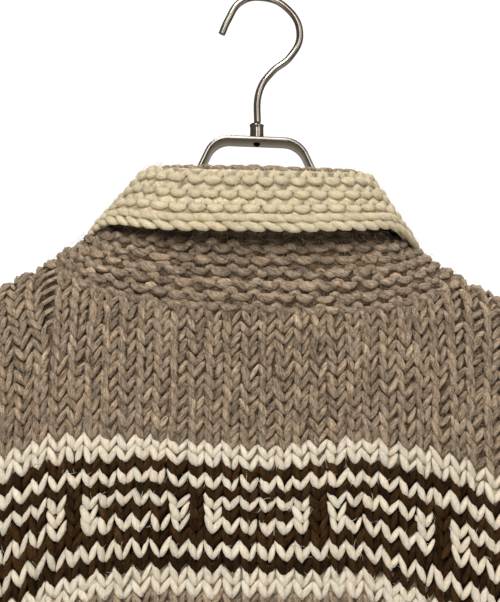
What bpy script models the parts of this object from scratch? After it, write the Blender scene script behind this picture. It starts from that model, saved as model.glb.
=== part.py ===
"""A hand-knitted Cowichan cardigan hanging on a flat-bar metal hanger.

Metres, +Z up. The origin is where the hook bears on a rail. The front of the garment
faces -Y and the wearer's left is +X. Cloth places are worked out on the flat panel
first, as "across" from the centre line and "down" from the top of the shoulders.
"""

import math

import bmesh
import bpy
from mathutils import Matrix, Vector

# The cloth: thickness of the knitting, and the gap left between pieces at a seam
WALL = 0.005
SEAM = 0.0004

# How the garment hangs on the arms of the hanger
SHOULDER_TOP = -0.1365
SHOULDER_SLOPE = math.tan(math.radians(31.5))
SLOPE_STARTS = 0.090
SLOPE_EASING = 0.030
HANG_TILT = 0.040
ARCH_HEIGHT = 0.090

# Flat sizes of the body panels
NECK_HALF = 0.130
SHOULDER_HALF = 0.235
CHEST_HALF = 0.270
ARMHOLE_DEPTH = 0.235
ARMHOLE_CURVE = 0.060
BACK_NECK_DROP = 0.045
FRONT_NECK_DROP = 0.190
RIB_TOP = 0.590
HEM = 0.650
BAND_HALF = 0.018

# Half width and half depth of the hanging body, by distance down
BODY_SECTIONS = (
    {"down": 0.000, "half_width": 0.237, "half_depth": 0.047},
    {"down": 0.100, "half_width": 0.237, "half_depth": 0.050},
    {"down": 0.235, "half_width": 0.238, "half_depth": 0.054},
    {"down": 0.400, "half_width": 0.237, "half_depth": 0.057},
    {"down": 0.590, "half_width": 0.235, "half_depth": 0.059},
    {"down": 0.650, "half_width": 0.226, "half_depth": 0.054},
)
SECTION_SQUARENESS = 2.6
ARC_STEPS = 48

# Soft upright folds of the body, deepest at the hem
FOLD_DEPTH = 0.005
FOLD_WIDTH = 0.175
FOLDS_START = 0.220
FOLDS_FULL = 0.560

# Ribs of the hem and cuffs
RIB_WIDTH = 0.0205
RIB_RISE = 0.0026
CUFF_RIBS = 11
RIB_PROFILE = (0.0, 1.0, 1.0, 0.0)
RIB_EASE_IN = 0.006

# Garter ridges: two rows of knitting to a ridge
STAND_RIDGE = 0.0067
BAND_RIDGE = 0.0072
RIDGE_RISE = 0.0016

# The shawl collar, from the middle of the back (station 0) round the side of the neck
# (station 4) to the top of the front band (station 10). Its edge leans to one side.
COLLAR_STATIONS = (
    {"station": 0.0, "knee": (0.000, 0.0390, -0.145), "crest": (0.000, 0.0340, -0.111), "edge": (0.000, 0.0520, -0.1380)},
    {"station": 2.0, "knee": (0.052, 0.0370, -0.145), "crest": (0.040, 0.0300, -0.111), "edge": (0.055, 0.0470, -0.1370)},
    {"station": 3.0, "knee": (0.071, 0.0240, -0.151), "crest": (0.053, 0.0180, -0.111), "edge": (0.0815, 0.0280, -0.1350)},
    {"station": 4.0, "knee": (0.079, 0.0000, -0.154), "crest": (0.059, 0.0000, -0.112), "edge": (0.0985, 0.0010, -0.1435)},
    {"station": 4.5, "knee": (0.080, -0.015, -0.158), "crest": (0.061, -0.013, -0.123), "edge": (0.105, -0.022, -0.1530)},
    {"station": 5.0, "knee": (0.080, -0.031, -0.167), "crest": (0.062, -0.027, -0.141), "edge": (0.108, -0.043, -0.1780)},
    {"station": 6.0, "knee": (0.070, -0.048, -0.206), "crest": (0.054, -0.049, -0.194), "edge": (0.104, -0.061, -0.2250)},
    {"station": 7.0, "knee": (0.057, -0.0505, -0.235), "crest": (0.044, -0.052, -0.226), "edge": (0.093, -0.064, -0.2570)},
    {"station": 8.0, "knee": (0.042, -0.0515, -0.264), "crest": (0.031, -0.053, -0.257), "edge": (0.077, -0.066, -0.2860)},
    {"station": 9.0, "knee": (0.028, -0.0515, -0.294), "crest": (0.021, -0.053, -0.289), "edge": (0.059, -0.066, -0.3130)},
    {"station": 10.0, "knee": (0.0145, -0.0505, -0.321), "crest": (0.010, -0.053, -0.315), "edge": (0.038, -0.065, -0.3380)},
)
EDGE_LEAN = 0.0018
SIDE_STATION = 4.0
END_STATION = 10.0
BACK_NECK_COLUMNS = 6
FRONT_NECK_COLUMNS = 8
SHOULDER_COLUMNS = 5
COLLAR_WALL = 0.0055
ROLL_RADIUS = 0.0046
STAND_RIDGES = 7
STAND_HIDDEN_SHARE = 0.42
ROLL_STEPS = 6
BORDER_RIDGES = 4

# Sleeve rings: outer fold (top) and inner fold (under), seen from the front, with the
# half depth from front to back
SLEEVE_RINGS = (
    {"top": (0.2520, -0.2360), "under": (0.2530, -0.3980), "half_depth": 0.036},
    {"top": (0.2790, -0.2610), "under": (0.2600, -0.4060), "half_depth": 0.040},
    {"top": (0.3050, -0.2970), "under": (0.2600, -0.4250), "half_depth": 0.045},
    {"top": (0.3270, -0.3380), "under": (0.2580, -0.4490), "half_depth": 0.049},
    {"top": (0.3430, -0.3930), "under": (0.2570, -0.4780), "half_depth": 0.051},
    {"top": (0.3540, -0.4510), "under": (0.2560, -0.5120), "half_depth": 0.051},
    {"top": (0.3610, -0.5100), "under": (0.2570, -0.5530), "half_depth": 0.049},
    {"top": (0.3650, -0.5690), "under": (0.2600, -0.5990), "half_depth": 0.046},
    {"top": (0.3660, -0.6240), "under": (0.2650, -0.6460), "half_depth": 0.042},
    {"top": (0.3640, -0.6720), "under": (0.2710, -0.6890), "half_depth": 0.038},
)
SLEEVE_SQUARENESS = 2.3
ARMHOLE_BLEND_RINGS = 4
UNDERARM_FOLD = 0.0022
CUFF_LENGTH = 0.066
CUFF_PULL_IN = 0.88

# Buttons
BUTTON_COUNT = 5
BUTTON_RADIUS = 0.0125
BUTTON_THICK = 0.0042
FIRST_BUTTON_DOWN = 0.225
LAST_BUTTON_DOWN = 0.615
BUTTON_HOLE_OFFSET = 0.0032
BUTTON_HOLE_RADIUS = 0.0012

# Hanger: bent flat bar, ferrule and wire hook
BAR_THICK = 0.0024
BAR_WIDTH = 0.025
BAR_TOP = -0.0820
BRIDGE_HALF = 0.0170
BRIDGE_RADIUS = 0.014
LEG_ANGLE = math.radians(-63)
LEG_FOOT_Z = -0.1680
SHELF_ANGLE = math.radians(-4)
SHELF_END_X = 0.110
ARM_ANGLE = math.radians(-31.5)
ARM_END_X = 0.205
BEND_RADIUS = 0.016
BEND_STEPS = 5
BAR_HOLE_RADIUS = 0.0022
FERRULE_RADIUS = 0.0043
FERRULE_HEIGHT = 0.0093
HOOK_WIRE = 0.00205
# Centre line of the hook, seen from the back of the garment: (to the right, up)
HOOK_POINTS = (
    (-0.0207, -0.0197),
    (-0.0148, -0.0050),
    (0.0016, 0.00205),
    (0.0180, -0.0045),
    (0.0254, -0.0200),
    (0.0195, -0.0333),
    (0.0090, -0.0420),
    (0.0018, -0.0525),
    (0.0004, -0.0700),
)

YARN_TAUPE = (0.215, 0.160, 0.110, 1.0)
YARN_CREAM = (0.640, 0.540, 0.360, 1.0)
WOOD_BROWN = (0.090, 0.050, 0.028, 1.0)
NICKEL = (0.480, 0.450, 0.410, 1.0)


def start_clean():
    for obj in list(bpy.data.objects):
        bpy.data.objects.remove(obj)


def collection(name):
    found = bpy.data.collections.new(name)
    bpy.context.scene.collection.children.link(found)
    return found


def material(name, color, roughness, metallic=0.0):
    made = bpy.data.materials.new(name)
    made.use_nodes = True
    shader = made.node_tree.nodes["Principled BSDF"]
    shader.inputs["Base Color"].default_value = color
    shader.inputs["Roughness"].default_value = roughness
    shader.inputs["Metallic"].default_value = metallic
    return made


def eased(value, low, high):
    """0 below low, 1 above high, with a smooth step between."""
    t = min(max((value - low) / (high - low), 0.0), 1.0)
    return t * t * (3 - 2 * t)


def between(table, key, value, column):
    """A column of a table of rows, read in a straight line between its rows."""
    for before, after in zip(table, table[1:]):
        if value <= after[key]:
            share = (value - before[key]) / (after[key] - before[key])
            return before[column] + (after[column] - before[column]) * max(share, 0.0)
    return table[-1][column]


def smooth_between(table, key, value, column):
    """A column of points, read along a smooth curve through its rows. Before the first
    row the curve is mirrored in the middle plane of the garment."""
    rows = [(row[key], Vector(row[column])) for row in table]
    mirrored = rows[1][1].copy()
    mirrored.x = -mirrored.x
    rows.insert(0, (2 * rows[0][0] - rows[1][0], mirrored))
    rows.append((2 * rows[-1][0] - rows[-2][0], 2 * rows[-1][1] - rows[-2][1]))
    i = max(k for k in range(1, len(rows) - 2) if rows[k][0] <= value + 1e-9)
    (t0, p0), (t1, p1), (t2, p2), (t3, p3) = rows[i - 1 : i + 3]
    share = (value - t1) / (t2 - t1)
    leaving = (p2 - p0) * (t2 - t1) / (t2 - t0)
    arriving = (p3 - p1) * (t2 - t1) / (t3 - t1)
    return (
        p1 * (2 * share**3 - 3 * share**2 + 1)
        + leaving * (share**3 - 2 * share**2 + share)
        + p2 * (3 * share**2 - 2 * share**3)
        + arriving * (share**3 - share**2)
    )


# ---- the hanging body ----------------------------------------------------------------


def quarter_arc(share, half_width, half_depth):
    """(x, y) at a share of the way round a quarter of the body, from the middle of the
    back or front to the side seam."""
    power = 2 / SECTION_SQUARENESS
    points, lengths = [(0.0, half_depth)], [0.0]
    for step in range(1, ARC_STEPS + 1):
        angle = math.pi / 2 * step / ARC_STEPS
        x = half_width * math.sin(angle) ** power
        y = half_depth * max(math.cos(angle), 0.0) ** power
        lengths.append(lengths[-1] + math.hypot(x - points[-1][0], y - points[-1][1]))
        points.append((x, y))
    wanted = min(max(share, 0.0), 1.0) * lengths[-1]
    for step in range(ARC_STEPS):
        if wanted <= lengths[step + 1]:
            t = (wanted - lengths[step]) / (lengths[step + 1] - lengths[step])
            near, far = points[step], points[step + 1]
            return near[0] + (far[0] - near[0]) * t, near[1] + (far[1] - near[1]) * t
    return points[-1]


def shoulder_drop(x):
    """How far the shoulder line has fallen at x, from the top of the shoulders."""
    t = abs(x) - SLOPE_STARTS
    return SHOULDER_SLOPE * 0.5 * (t + math.hypot(t, SLOPE_EASING))


def body_point(across, down, side):
    """A point of the body's outer face. side is 1 on the back and -1 on the front."""
    share = abs(across) / CHEST_HALF
    half_width = between(BODY_SECTIONS, "down", down, "half_width")
    half_depth = between(BODY_SECTIONS, "down", down, "half_depth")
    x, y = quarter_arc(share, half_width, half_depth)
    x = math.copysign(x, across)
    to_arch = 1 - min(down / ARCH_HEIGHT, 1.0)
    y *= math.sqrt(max(1 - to_arch**2, 0.0))
    lobe = math.cos(2 * math.pi * (across + 0.02 * side) / FOLD_WIDTH)
    y += FOLD_DEPTH * lobe * (1 - share**4) * eased(down, FOLDS_START, FOLDS_FULL)
    held_up = 1 - 0.45 * eased(down, 0.04, 0.20) - 0.40 * eased(down, 0.20, HEM)
    z = SHOULDER_TOP - down - shoulder_drop(x) * held_up + HANG_TILT * x
    return Vector((x, side * max(y, SEAM / 2), z))


def body_normal(across, down, side):
    """The outward direction of the body's outer face."""
    step = 1e-4
    low, high = max(down - step, 0.0), down + step
    along = body_point(across + step, down, side) - body_point(across - step, down, side)
    fall = body_point(across, high, side) - body_point(across, low, side)
    normal = along.cross(fall).normalized()
    return -normal if normal.y * side < 0 or (abs(normal.y) < 1e-6 and normal.z < 0) else normal


def body_pair(across, down, side, rise=0.0, on_seam=False):
    """The outer and inner point of the body's wall. on_seam squares the edge to the
    seam plane between front and back."""
    inside_side = min(abs(across), CHEST_HALF - 2e-4)
    normal = body_normal(math.copysign(inside_side, across), max(down, 1e-6), side)
    if on_seam:
        normal.y = 0.0
        normal.normalize()
    outer = body_point(across, down, side)
    return outer + normal * rise, outer - normal * WALL


def down_levels():
    """Rows of the body panels: close over the shoulder's arch, wider below."""
    arch = [ARCH_HEIGHT * (1 - math.cos(math.radians(15 * k))) for k in range(7)]
    armhole = [0.125, 0.160, 0.190, 0.215, 0.229, ARMHOLE_DEPTH]
    steps = 6
    lower = [ARMHOLE_DEPTH + (RIB_TOP - ARMHOLE_DEPTH) * (k + 1) / steps for k in range(steps)]
    return arch + armhole + lower


def edge_across(down):
    """Half width of the flat panel: straight down the armhole, then out to the underarm."""
    t = (down - (ARMHOLE_DEPTH - ARMHOLE_CURVE)) / ARMHOLE_CURVE
    t = min(max(t, 0.0), 1.0)
    return SHOULDER_HALF + (CHEST_HALF - SHOULDER_HALF) * (1 - math.sqrt(1 - t * t))


def neck_drop(across, side):
    """How far down the neck seam lies."""
    share = min(abs(across) / NECK_HALF, 1.0)
    if side > 0:
        return BACK_NECK_DROP * (1 - share**3.2)
    inner = BAND_HALF / NECK_HALF
    return FRONT_NECK_DROP * ((1 - share) / (1 - inner)) ** 0.9


def down_at(level, across, side):
    """A panel row at this column: rows close up under the neck seam."""
    top = neck_drop(across, side)
    meet = 0.190 if side > 0 else 0.380
    return level if level >= meet else top + level * (meet - top) / meet


def spread(low, high, steps):
    return [low + (high - low) * k / steps for k in range(steps + 1)]


# ---- meshes --------------------------------------------------------------------------


def edge_faces(outer_a, outer_b, inner_b, inner_a, flip):
    """Two triangles across the edge of a wall. The cut starts at the outer corner that
    is higher or further out, so the edges of two pieces that meet twist alike."""

    def rank(corner):
        return corner.co.z + 0.3 * abs(corner.co.x)

    if rank(outer_a) > rank(outer_b):
        halves = [(outer_a, outer_b, inner_b), (outer_a, inner_b, inner_a)]
    else:
        halves = [(outer_a, outer_b, inner_a), (outer_b, inner_b, inner_a)]
    return [half[::-1] if flip else half for half in halves]


def wall(name, outer, inner, look, into, ring=False):
    """A closed wall between two grids of points, row by row. ring joins each row round."""
    mesh = bmesh.new()
    faces = []
    rows, columns = len(outer), len(outer[0])
    grids = [[[mesh.verts.new(p) for p in row] for row in grid] for grid in (outer, inner)]
    spans = columns if ring else columns - 1
    for grid, flip in zip(grids, (False, True)):
        for r in range(rows - 1):
            for c in range(spans):
                d = (c + 1) % columns
                corners = [grid[r][c], grid[r][d], grid[r + 1][d], grid[r + 1][c]]
                faces.append(corners[::-1] if flip else corners)
    for r in (0, rows - 1):
        for c in range(spans):
            d = (c + 1) % columns
            corners = (grids[0][r][d], grids[0][r][c], grids[1][r][c], grids[1][r][d])
            faces += edge_faces(*corners, flip=r > 0)
    if not ring:
        for c in (0, columns - 1):
            for r in range(rows - 1):
                corners = (grids[0][r][c], grids[0][r + 1][c], grids[1][r + 1][c], grids[1][r][c])
                faces += edge_faces(*corners, flip=c > 0)
    for corners in faces:
        mesh.faces.new(corners)
    if mesh.calc_volume(signed=True) < 0:
        bmesh.ops.reverse_faces(mesh, faces=mesh.faces)
    data = bpy.data.meshes.new(name)
    mesh.to_mesh(data)
    mesh.free()
    return place(name, data, look, into)


def place(name, data, look, into):
    obj = bpy.data.objects.new(name, data)
    data.materials.clear()
    data.materials.append(look)
    if isinstance(data, bpy.types.Mesh):
        data.shade_smooth()
        data.set_sharp_from_angle(angle=math.radians(32))
    into.objects.link(obj)
    return obj


def split_pairs(rows):
    """Rows of (outer, inner) points as an outer grid and an inner grid."""
    return [[p[0] for p in row] for row in rows], [[p[1] for p in row] for row in rows]


def panel_rows(side, columns_at):
    """Rows of (outer, inner) points of a body panel. columns_at gives across by down."""
    rows = []
    for level in down_levels():
        row = []
        for across in columns_at(level):
            down = down_at(level, across, side)
            at_shoulder = level == 0 and abs(across) >= NECK_HALF - 1e-9
            at_side = abs(abs(across) - CHEST_HALF) < 1e-9
            row.append(body_pair(across, down, side, on_seam=at_shoulder or at_side))
        rows.append(row)
    return rows


def back_columns(level):
    """Columns of the back, from the wearer's right to the left."""
    neck = NECK_HALF / SHOULDER_HALF
    inner = spread(-neck, neck, 2 * BACK_NECK_COLUMNS)
    outer = spread(neck, 1.0, SHOULDER_COLUMNS)[1:]
    shares = [-share for share in reversed(outer)] + inner + outer
    return [share * edge_across(level) for share in shares]


def front_columns(level, hand):
    """Columns of a front from its centre edge out. hand is 1 on the wearer's left."""
    neck = spread(BAND_HALF, NECK_HALF, FRONT_NECK_COLUMNS)
    outer = spread(NECK_HALF, SHOULDER_HALF, SHOULDER_COLUMNS)[1:]
    stretch = (edge_across(level) - BAND_HALF) / (SHOULDER_HALF - BAND_HALF)
    return [hand * (BAND_HALF + (a - BAND_HALF) * stretch) for a in neck + outer]


def along(points, share):
    """A point at a share of the way along a row of (outer, inner) pairs, by column."""
    place_in = share * (len(points) - 1)
    k = min(int(place_in), len(points) - 2)
    t = place_in - k
    return tuple(points[k][face].lerp(points[k + 1][face], t) for face in (0, 1))


def rib_rise(column):
    return RIB_RISE * RIB_PROFILE[column % len(RIB_PROFILE)]


def hem_rib(name, last_row, acrosses, side, look, into):
    """A ribbed welt that hangs from the last row of a panel."""
    width = abs(acrosses[-1] - acrosses[0])
    columns = round(width / RIB_WIDTH) * len(RIB_PROFILE)
    rows = []
    for down in (RIB_TOP, RIB_TOP + RIB_EASE_IN, HEM):
        row = []
        for c in range(columns + 1):
            share = c / columns
            if down == RIB_TOP:
                row.append(tuple(p - Vector((0, 0, SEAM)) for p in along(last_row, share)))
                continue
            across = acrosses[0] + (acrosses[-1] - acrosses[0]) * share
            at_side = abs(abs(across) - CHEST_HALF) < 1e-9
            rise = 0.0 if c in (0, columns) else rib_rise(c)
            row.append(body_pair(across, down, side, rise=rise, on_seam=at_side))
        rows.append(row)
    return wall(name, *split_pairs(rows), look, into)


def make_body(look, into):
    """Back, two fronts and their ribbed welts. Returns the neck edges for the collar."""
    rows = panel_rows(1, back_columns)
    wall("back", *split_pairs(rows), look, into)
    hem_rib("back_welt", rows[-1], back_columns(RIB_TOP), 1, look, into)
    neck = {}
    neck["back"] = rows[0][SHOULDER_COLUMNS : SHOULDER_COLUMNS + 2 * BACK_NECK_COLUMNS + 1]
    for name, hand in (("left", 1), ("right", -1)):
        rows = panel_rows(-1, lambda level, hand=hand: front_columns(level, hand))
        wall("front_" + name, *split_pairs(rows), look, into)
        acrosses = front_columns(RIB_TOP, hand)
        hem_rib("front_welt_" + name, rows[-1], acrosses, -1, look, into)
        neck[name] = rows[0][: FRONT_NECK_COLUMNS + 1]
    return neck


# ---- front bands and buttons ---------------------------------------------------------


def ridge_rise(step, steps):
    """Garter ridges across a strip: up on every second column, flat at its edges."""
    return RIDGE_RISE if 0 < step < steps and step % 2 else 0.0


def make_bands(look, into):
    """The wearer's left band laps over the right one, which lies a wall further in."""
    downs = spread(FRONT_NECK_DROP + 2 * SEAM, HEM, 12)
    ridges = round(2 * BAND_HALF / BAND_RIDGE)
    columns = 2 * ridges
    edge = BAND_HALF - SEAM
    rows = []
    for down in downs:
        row = []
        for c, across in enumerate(spread(edge, -edge, columns)):
            row.append(body_pair(across, down, -1, rise=ridge_rise(c, columns)))
        rows.append(row)
    wall("band_left", *split_pairs(rows), look, into)
    rows = []
    inward = Vector((0, WALL + SEAM, 0))
    for down in downs:
        pairs = [body_pair(a, down, -1) for a in spread(BAND_HALF - 0.002, -BAND_HALF - 0.007, 3)]
        rows.append([(outer + inward, inner + inward) for outer, inner in pairs])
    wall("band_right", *split_pairs(rows), look, into)


def drill(obj, cutters, where, radius, direction):
    """Cuts a round hole through obj."""
    bpy.ops.mesh.primitive_cylinder_add(vertices=6, radius=radius, depth=0.03, location=where)
    cutter = bpy.context.object
    cutter.name = f"cutter_{obj.name}_{len(cutters.objects)}"
    cutter.rotation_euler = direction.to_track_quat("Z", "Y").to_euler()
    for owner in list(cutter.users_collection):
        owner.objects.unlink(cutter)
    cutters.objects.link(cutter)
    cutter.hide_render = True
    cutter.display_type = "WIRE"
    cut = obj.modifiers.new("hole", "BOOLEAN")
    cut.operation = "DIFFERENCE"
    cut.object = cutter


def make_buttons(look, into, cutters):
    """Four-hole buttons on the left band, each square to the cloth under it."""
    pitch = (LAST_BUTTON_DOWN - FIRST_BUTTON_DOWN) / (BUTTON_COUNT - 1)
    for k in range(BUTTON_COUNT):
        down = FIRST_BUTTON_DOWN + k * pitch
        normal = body_normal(0.0, down, -1)
        lift = RIDGE_RISE + SEAM + BUTTON_THICK / 2
        centre = body_point(0.0, down, -1) + normal * (lift + 0.0004)
        bpy.ops.mesh.primitive_cylinder_add(
            vertices=18, radius=BUTTON_RADIUS, depth=BUTTON_THICK, location=centre
        )
        button = bpy.context.object
        button.name = f"button_{k + 1}"
        button.rotation_euler = normal.to_track_quat("Z", "X").to_euler()
        for owner in list(button.users_collection):
            owner.objects.unlink(button)
        into.objects.link(button)
        button.data.materials.append(look)
        bevel = button.modifiers.new("rim", "BEVEL")
        bevel.width = 0.0011
        bevel.segments = 1
        turn = button.rotation_euler.to_matrix()
        for sx in (-1, 1):
            for sy in (-1, 1):
                offset = turn @ Vector((sx, sy, 0)) * (BUTTON_HOLE_OFFSET / math.sqrt(2))
                drill(button, cutters, centre + offset, BUTTON_HOLE_RADIUS, normal)


# ---- collar --------------------------------------------------------------------------


def tilted(point):
    """The whole garment hangs a little lower on the wearer's right."""
    return point + Vector((0, 0, HANG_TILT * point.x))


def collar_base(neck):
    """((outer, inner), signed station) all round the neck edge, from the bottom of the
    left front to the bottom of the right one, one seam gap clear of the panels."""
    back_step = SIDE_STATION / BACK_NECK_COLUMNS
    front_step = (END_STATION - SIDE_STATION) / FRONT_NECK_COLUMNS
    fronts = range(FRONT_NECK_COLUMNS, 0, -1)
    path = [(neck["left"][-1 - k], SIDE_STATION + k * front_step) for k in fronts]
    backs = range(BACK_NECK_COLUMNS, -BACK_NECK_COLUMNS - 1, -1)
    path += [(neck["back"][BACK_NECK_COLUMNS + k], k * back_step) for k in backs]
    path += [(neck["right"][-1 - k], -SIDE_STATION - k * front_step) for k in reversed(fronts)]
    based = []
    for k, ((outer, inner), station) in enumerate(path):
        ahead = path[min(k + 1, len(path) - 1)][0][0] - path[max(k - 1, 0)][0][0]
        away = ahead.cross(inner - outer).normalized() * SEAM
        based.append(((outer + away, inner + away), station))
    return based


def collar_line(base, station):
    """Mid line of the collar at one station, from the neck seam over the roll to the
    edge, as points with a tag for the part each belongs to."""
    def point_of(column, at):
        point = smooth_between(COLLAR_STATIONS, "station", min(abs(at), END_STATION), column)
        lean = EDGE_LEAN if column == "edge" else 0.0
        return tilted(Vector((math.copysign(point.x, at) + lean, point.y, point.z)))

    knee, crest, edge = (point_of(column, station) for column in ("knee", "crest", "edge"))
    ahead = (point_of("crest", station - 0.1) - point_of("crest", station + 0.1)).normalized()
    up = crest - knee
    up = (up - ahead * up.dot(ahead)).normalized()
    out = edge - crest
    out = (out - up * out.dot(up) - ahead * out.dot(ahead)).normalized()
    line = []
    visible_steps = 2 * STAND_RIDGES
    shares = spread(0.0, 1 - STAND_HIDDEN_SHARE, visible_steps)
    shares += spread(1 - STAND_HIDDEN_SHARE, 1.0, 3)[1:]
    for k, share in enumerate(shares):
        point = base * (1 - share) ** 2 + knee * 2 * share * (1 - share) + crest * share**2
        line.append((point, "ridge" if k < visible_steps and k % 2 else "plain"))
    top = ROLL_STEPS // 2

    def on_roll(step):
        angle = math.pi * step / ROLL_STEPS
        return crest + (out * (1 - math.cos(angle)) + up * math.sin(angle)) * ROLL_RADIUS

    line += [(on_roll(step), "plain") for step in range(1, top + 1)]
    border = [(on_roll(step), "plain") for step in range(top, ROLL_STEPS)]
    roll_end = crest + out * 2 * ROLL_RADIUS
    for k, share in enumerate(spread(0.0, 1.0, 2 * BORDER_RIDGES)):
        border.append((roll_end.lerp(edge, share), "ridge" if k % 2 else "plain"))
    return line, border, up, out


def faced(lines, facing, first=None, last=None):
    """Outer and inner grids of a strip from its mid lines. The ridges rise on the outer
    face, which facing picks. first and last hold exact points for the end rows."""
    points = [[p for p, _ in line] for line in lines]
    columns, steps = len(points), len(points[0])
    pairs = []
    for k in range(steps):
        exact = first if k == 0 else last if k == steps - 1 else None
        if exact:
            pairs.append(exact)
            continue
        row = []
        for c in range(columns):
            ahead = points[min(c + 1, columns - 1)][k] - points[max(c - 1, 0)][k]
            rise = points[c][min(k + 1, steps - 1)] - points[c][max(k - 1, 0)]
            normal = rise.cross(ahead).normalized() * facing
            extra = 0.0
            if lines[c][k][1] == "ridge":
                extra = RIDGE_RISE * eased(rise.length / STAND_RIDGE, 0.2, 0.8)
            middle = points[c][k]
            row.append((middle + normal * (COLLAR_WALL / 2 + extra), middle - normal * COLLAR_WALL / 2))
        pairs.append(row)
    return split_pairs(pairs)


def make_collar(neck, taupe, cream, into):
    """The stand up to the top of the roll in the ground colour, and the fall in cream."""
    bases, lines, borders, roll_tops, border_tops = [], [], [], [], []
    for pair, station in collar_base(neck):
        line, border, up, out = collar_line((pair[0] + pair[1]) / 2, station)
        bases.append(pair)
        lines.append(line)
        borders.append(border)
        middle, half = line[-1][0], up * COLLAR_WALL / 2
        roll_tops.append((middle - half, middle + half))
        step = out * 2 * SEAM
        border_tops.append((middle + half + step, middle - half + step))
    wall("collar", *faced(lines, -1, first=bases, last=roll_tops), taupe, into)
    wall("collar_border", *faced(borders, 1, first=border_tops), cream, into)


# ---- sleeves -------------------------------------------------------------------------


def armhole_loop(hand):
    """(outer, inner) points round the armhole, from the shoulder down the back and up
    the front, set one seam gap out from the body's edge."""
    levels = [d for d in down_levels() if d <= ARMHOLE_DEPTH + 1e-9]
    loop = []
    order = [(d, 1) for d in levels] + [(d, -1) for d in reversed(levels[1:-1])]
    for down, side in order:
        across = hand * edge_across(down)
        on_seam = down in (levels[0], levels[-1])
        outer, inner = body_pair(across, down, side, on_seam=on_seam)
        if on_seam:
            outer.y = inner.y = 0.0
        rim = min(down + 1e-3, ARMHOLE_DEPTH - 1e-5)
        near = max(rim - 2e-3, 0.0)
        edge = body_point(hand * edge_across(rim), rim, side) - body_point(hand * edge_across(near), near, side)
        away = edge.cross((outer - inner)).normalized()
        if away.x * hand < 0:
            away = -away
        if down == levels[-1]:
            away = Vector((0, 0, 1))
        if down == levels[0]:
            away = Vector((hand, 0, -SHOULDER_SLOPE)).normalized()
        loop.append((outer + away * SEAM, inner + away * SEAM))
    return loop


def ring_frame(ring, hand):
    top = tilted(Vector((hand * ring["top"][0], 0, ring["top"][1])))
    under = tilted(Vector((hand * ring["under"][0], 0, ring["under"][1])))
    return top, under


def ring_points(top, under, half_depth, count, squareness, grow=None):
    """Points round a sleeve ring, from its outer fold over the back. grow is added to
    the size of the ring at each point, in metres."""
    centre, half = (top + under) / 2, (top - under) / 2
    power = 2 / squareness
    points = []
    for k in range(count):
        angle = 2 * math.pi * k / count
        c, s = math.cos(angle), math.sin(angle)
        point = half * math.copysign(abs(c) ** power, c)
        point = point + Vector((0, half_depth * math.copysign(abs(s) ** power, s), 0))
        if grow:
            point = point + point.normalized() * grow(k)
        points.append(centre + point)
    return points


def make_sleeve(name, hand, look, into):
    """The sleeve tube, from the armhole to the cuff. Folds gather under the arm."""
    loop = armhole_loop(hand)
    count = len(loop)
    outer, inner = [[p[0] for p in loop]], [[p[1] for p in loop]]
    for r, ring in enumerate(SLEEVE_RINGS):
        top, under = ring_frame(ring, hand)
        crush = UNDERARM_FOLD * (1 if r % 2 else -1) * (1 - eased(r, 4, 8))

        def fold(k, crush=crush):
            return crush * max(-math.cos(2 * math.pi * k / count), 0.0)

        made = ring_points(top, under, ring["half_depth"], count, SLEEVE_SQUARENESS, fold)
        weight = 1 - max(1 - (r + 1) / ARMHOLE_BLEND_RINGS, 0.0) ** 2
        shift = (top + under) / 2 - (outer[0][0] + outer[0][count // 2]) / 2
        made = [(p0 + shift).lerp(p, weight) for p0, p in zip(outer[0], made)]
        outer.append(made)
    for r in range(1, len(outer)):
        row = []
        for k in range(count):
            round_it = outer[r][(k + 1) % count] - outer[r][k - 1]
            on = outer[min(r + 1, len(outer) - 1)][k] - outer[r - 1][k]
            normal = on.cross(round_it).normalized() * hand
            row.append(outer[r][k] - normal * WALL)
        if r == len(outer) - 1:
            plane = (outer[r][0] - outer[r][count // 2]).cross(Vector((0, 1, 0))).normalized()
            row = [p - plane * (p - outer[r][0]).dot(plane) for p in row]
        inner.append(row)
    wall("sleeve_" + name, outer, inner, look, into, ring=True)


def make_cuff(name, hand, look, into):
    """A ribbed cuff on the last sleeve ring."""
    top, under = ring_frame(SLEEVE_RINGS[-1], hand)
    depth = SLEEVE_RINGS[-1]["half_depth"]
    axis = (top - under).cross(Vector((0, 1, 0))).normalized()
    if axis.z > 0:
        axis = -axis
    count = CUFF_RIBS * len(RIB_PROFILE)
    outer, inner = [], []
    for r, (along_arm, size) in enumerate(((SEAM, 1.0), (RIB_EASE_IN, 0.96), (CUFF_LENGTH, CUFF_PULL_IN))):
        centre = (top + under) / 2 + axis * along_arm
        half = (top - under) / 2 * size
        rise = (lambda k: 0.0) if r == 0 else rib_rise
        outer.append(ring_points(centre + half, centre - half, depth * size, count, SLEEVE_SQUARENESS, rise))
        bore = half * (1 - WALL / half.length)
        inner.append(ring_points(centre + bore, centre - bore, depth * size - WALL, count, SLEEVE_SQUARENESS))
    wall("cuff_" + name, outer, inner, look, into, ring=True)


# ---- hanger --------------------------------------------------------------------------


def bar_path():
    """Right half of the bar's centre line, from its middle: bridge, leg, shelf, arm."""
    points = [(0.0, BAR_TOP - BAR_THICK / 2), (BRIDGE_HALF, BAR_TOP - BAR_THICK / 2)]
    heading = 0.0

    def forward(length):
        x, z = points[-1]
        points.append((x + math.cos(heading) * length, z + math.sin(heading) * length))

    def turn_to(angle, radius):
        nonlocal heading
        step = (angle - heading) / BEND_STEPS
        for _ in range(BEND_STEPS):
            heading += step / 2
            forward(2 * radius * math.sin(abs(step) / 2))
            heading += step / 2

    turn_to(LEG_ANGLE, BRIDGE_RADIUS)
    forward((points[-1][1] - LEG_FOOT_Z) / math.sin(-heading))
    turn_to(SHELF_ANGLE, BEND_RADIUS)
    forward((SHELF_END_X - points[-1][0]) / math.cos(heading))
    turn_to(ARM_ANGLE, BEND_RADIUS)
    forward((ARM_END_X - points[-1][0]) / math.cos(heading))
    return points


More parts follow.
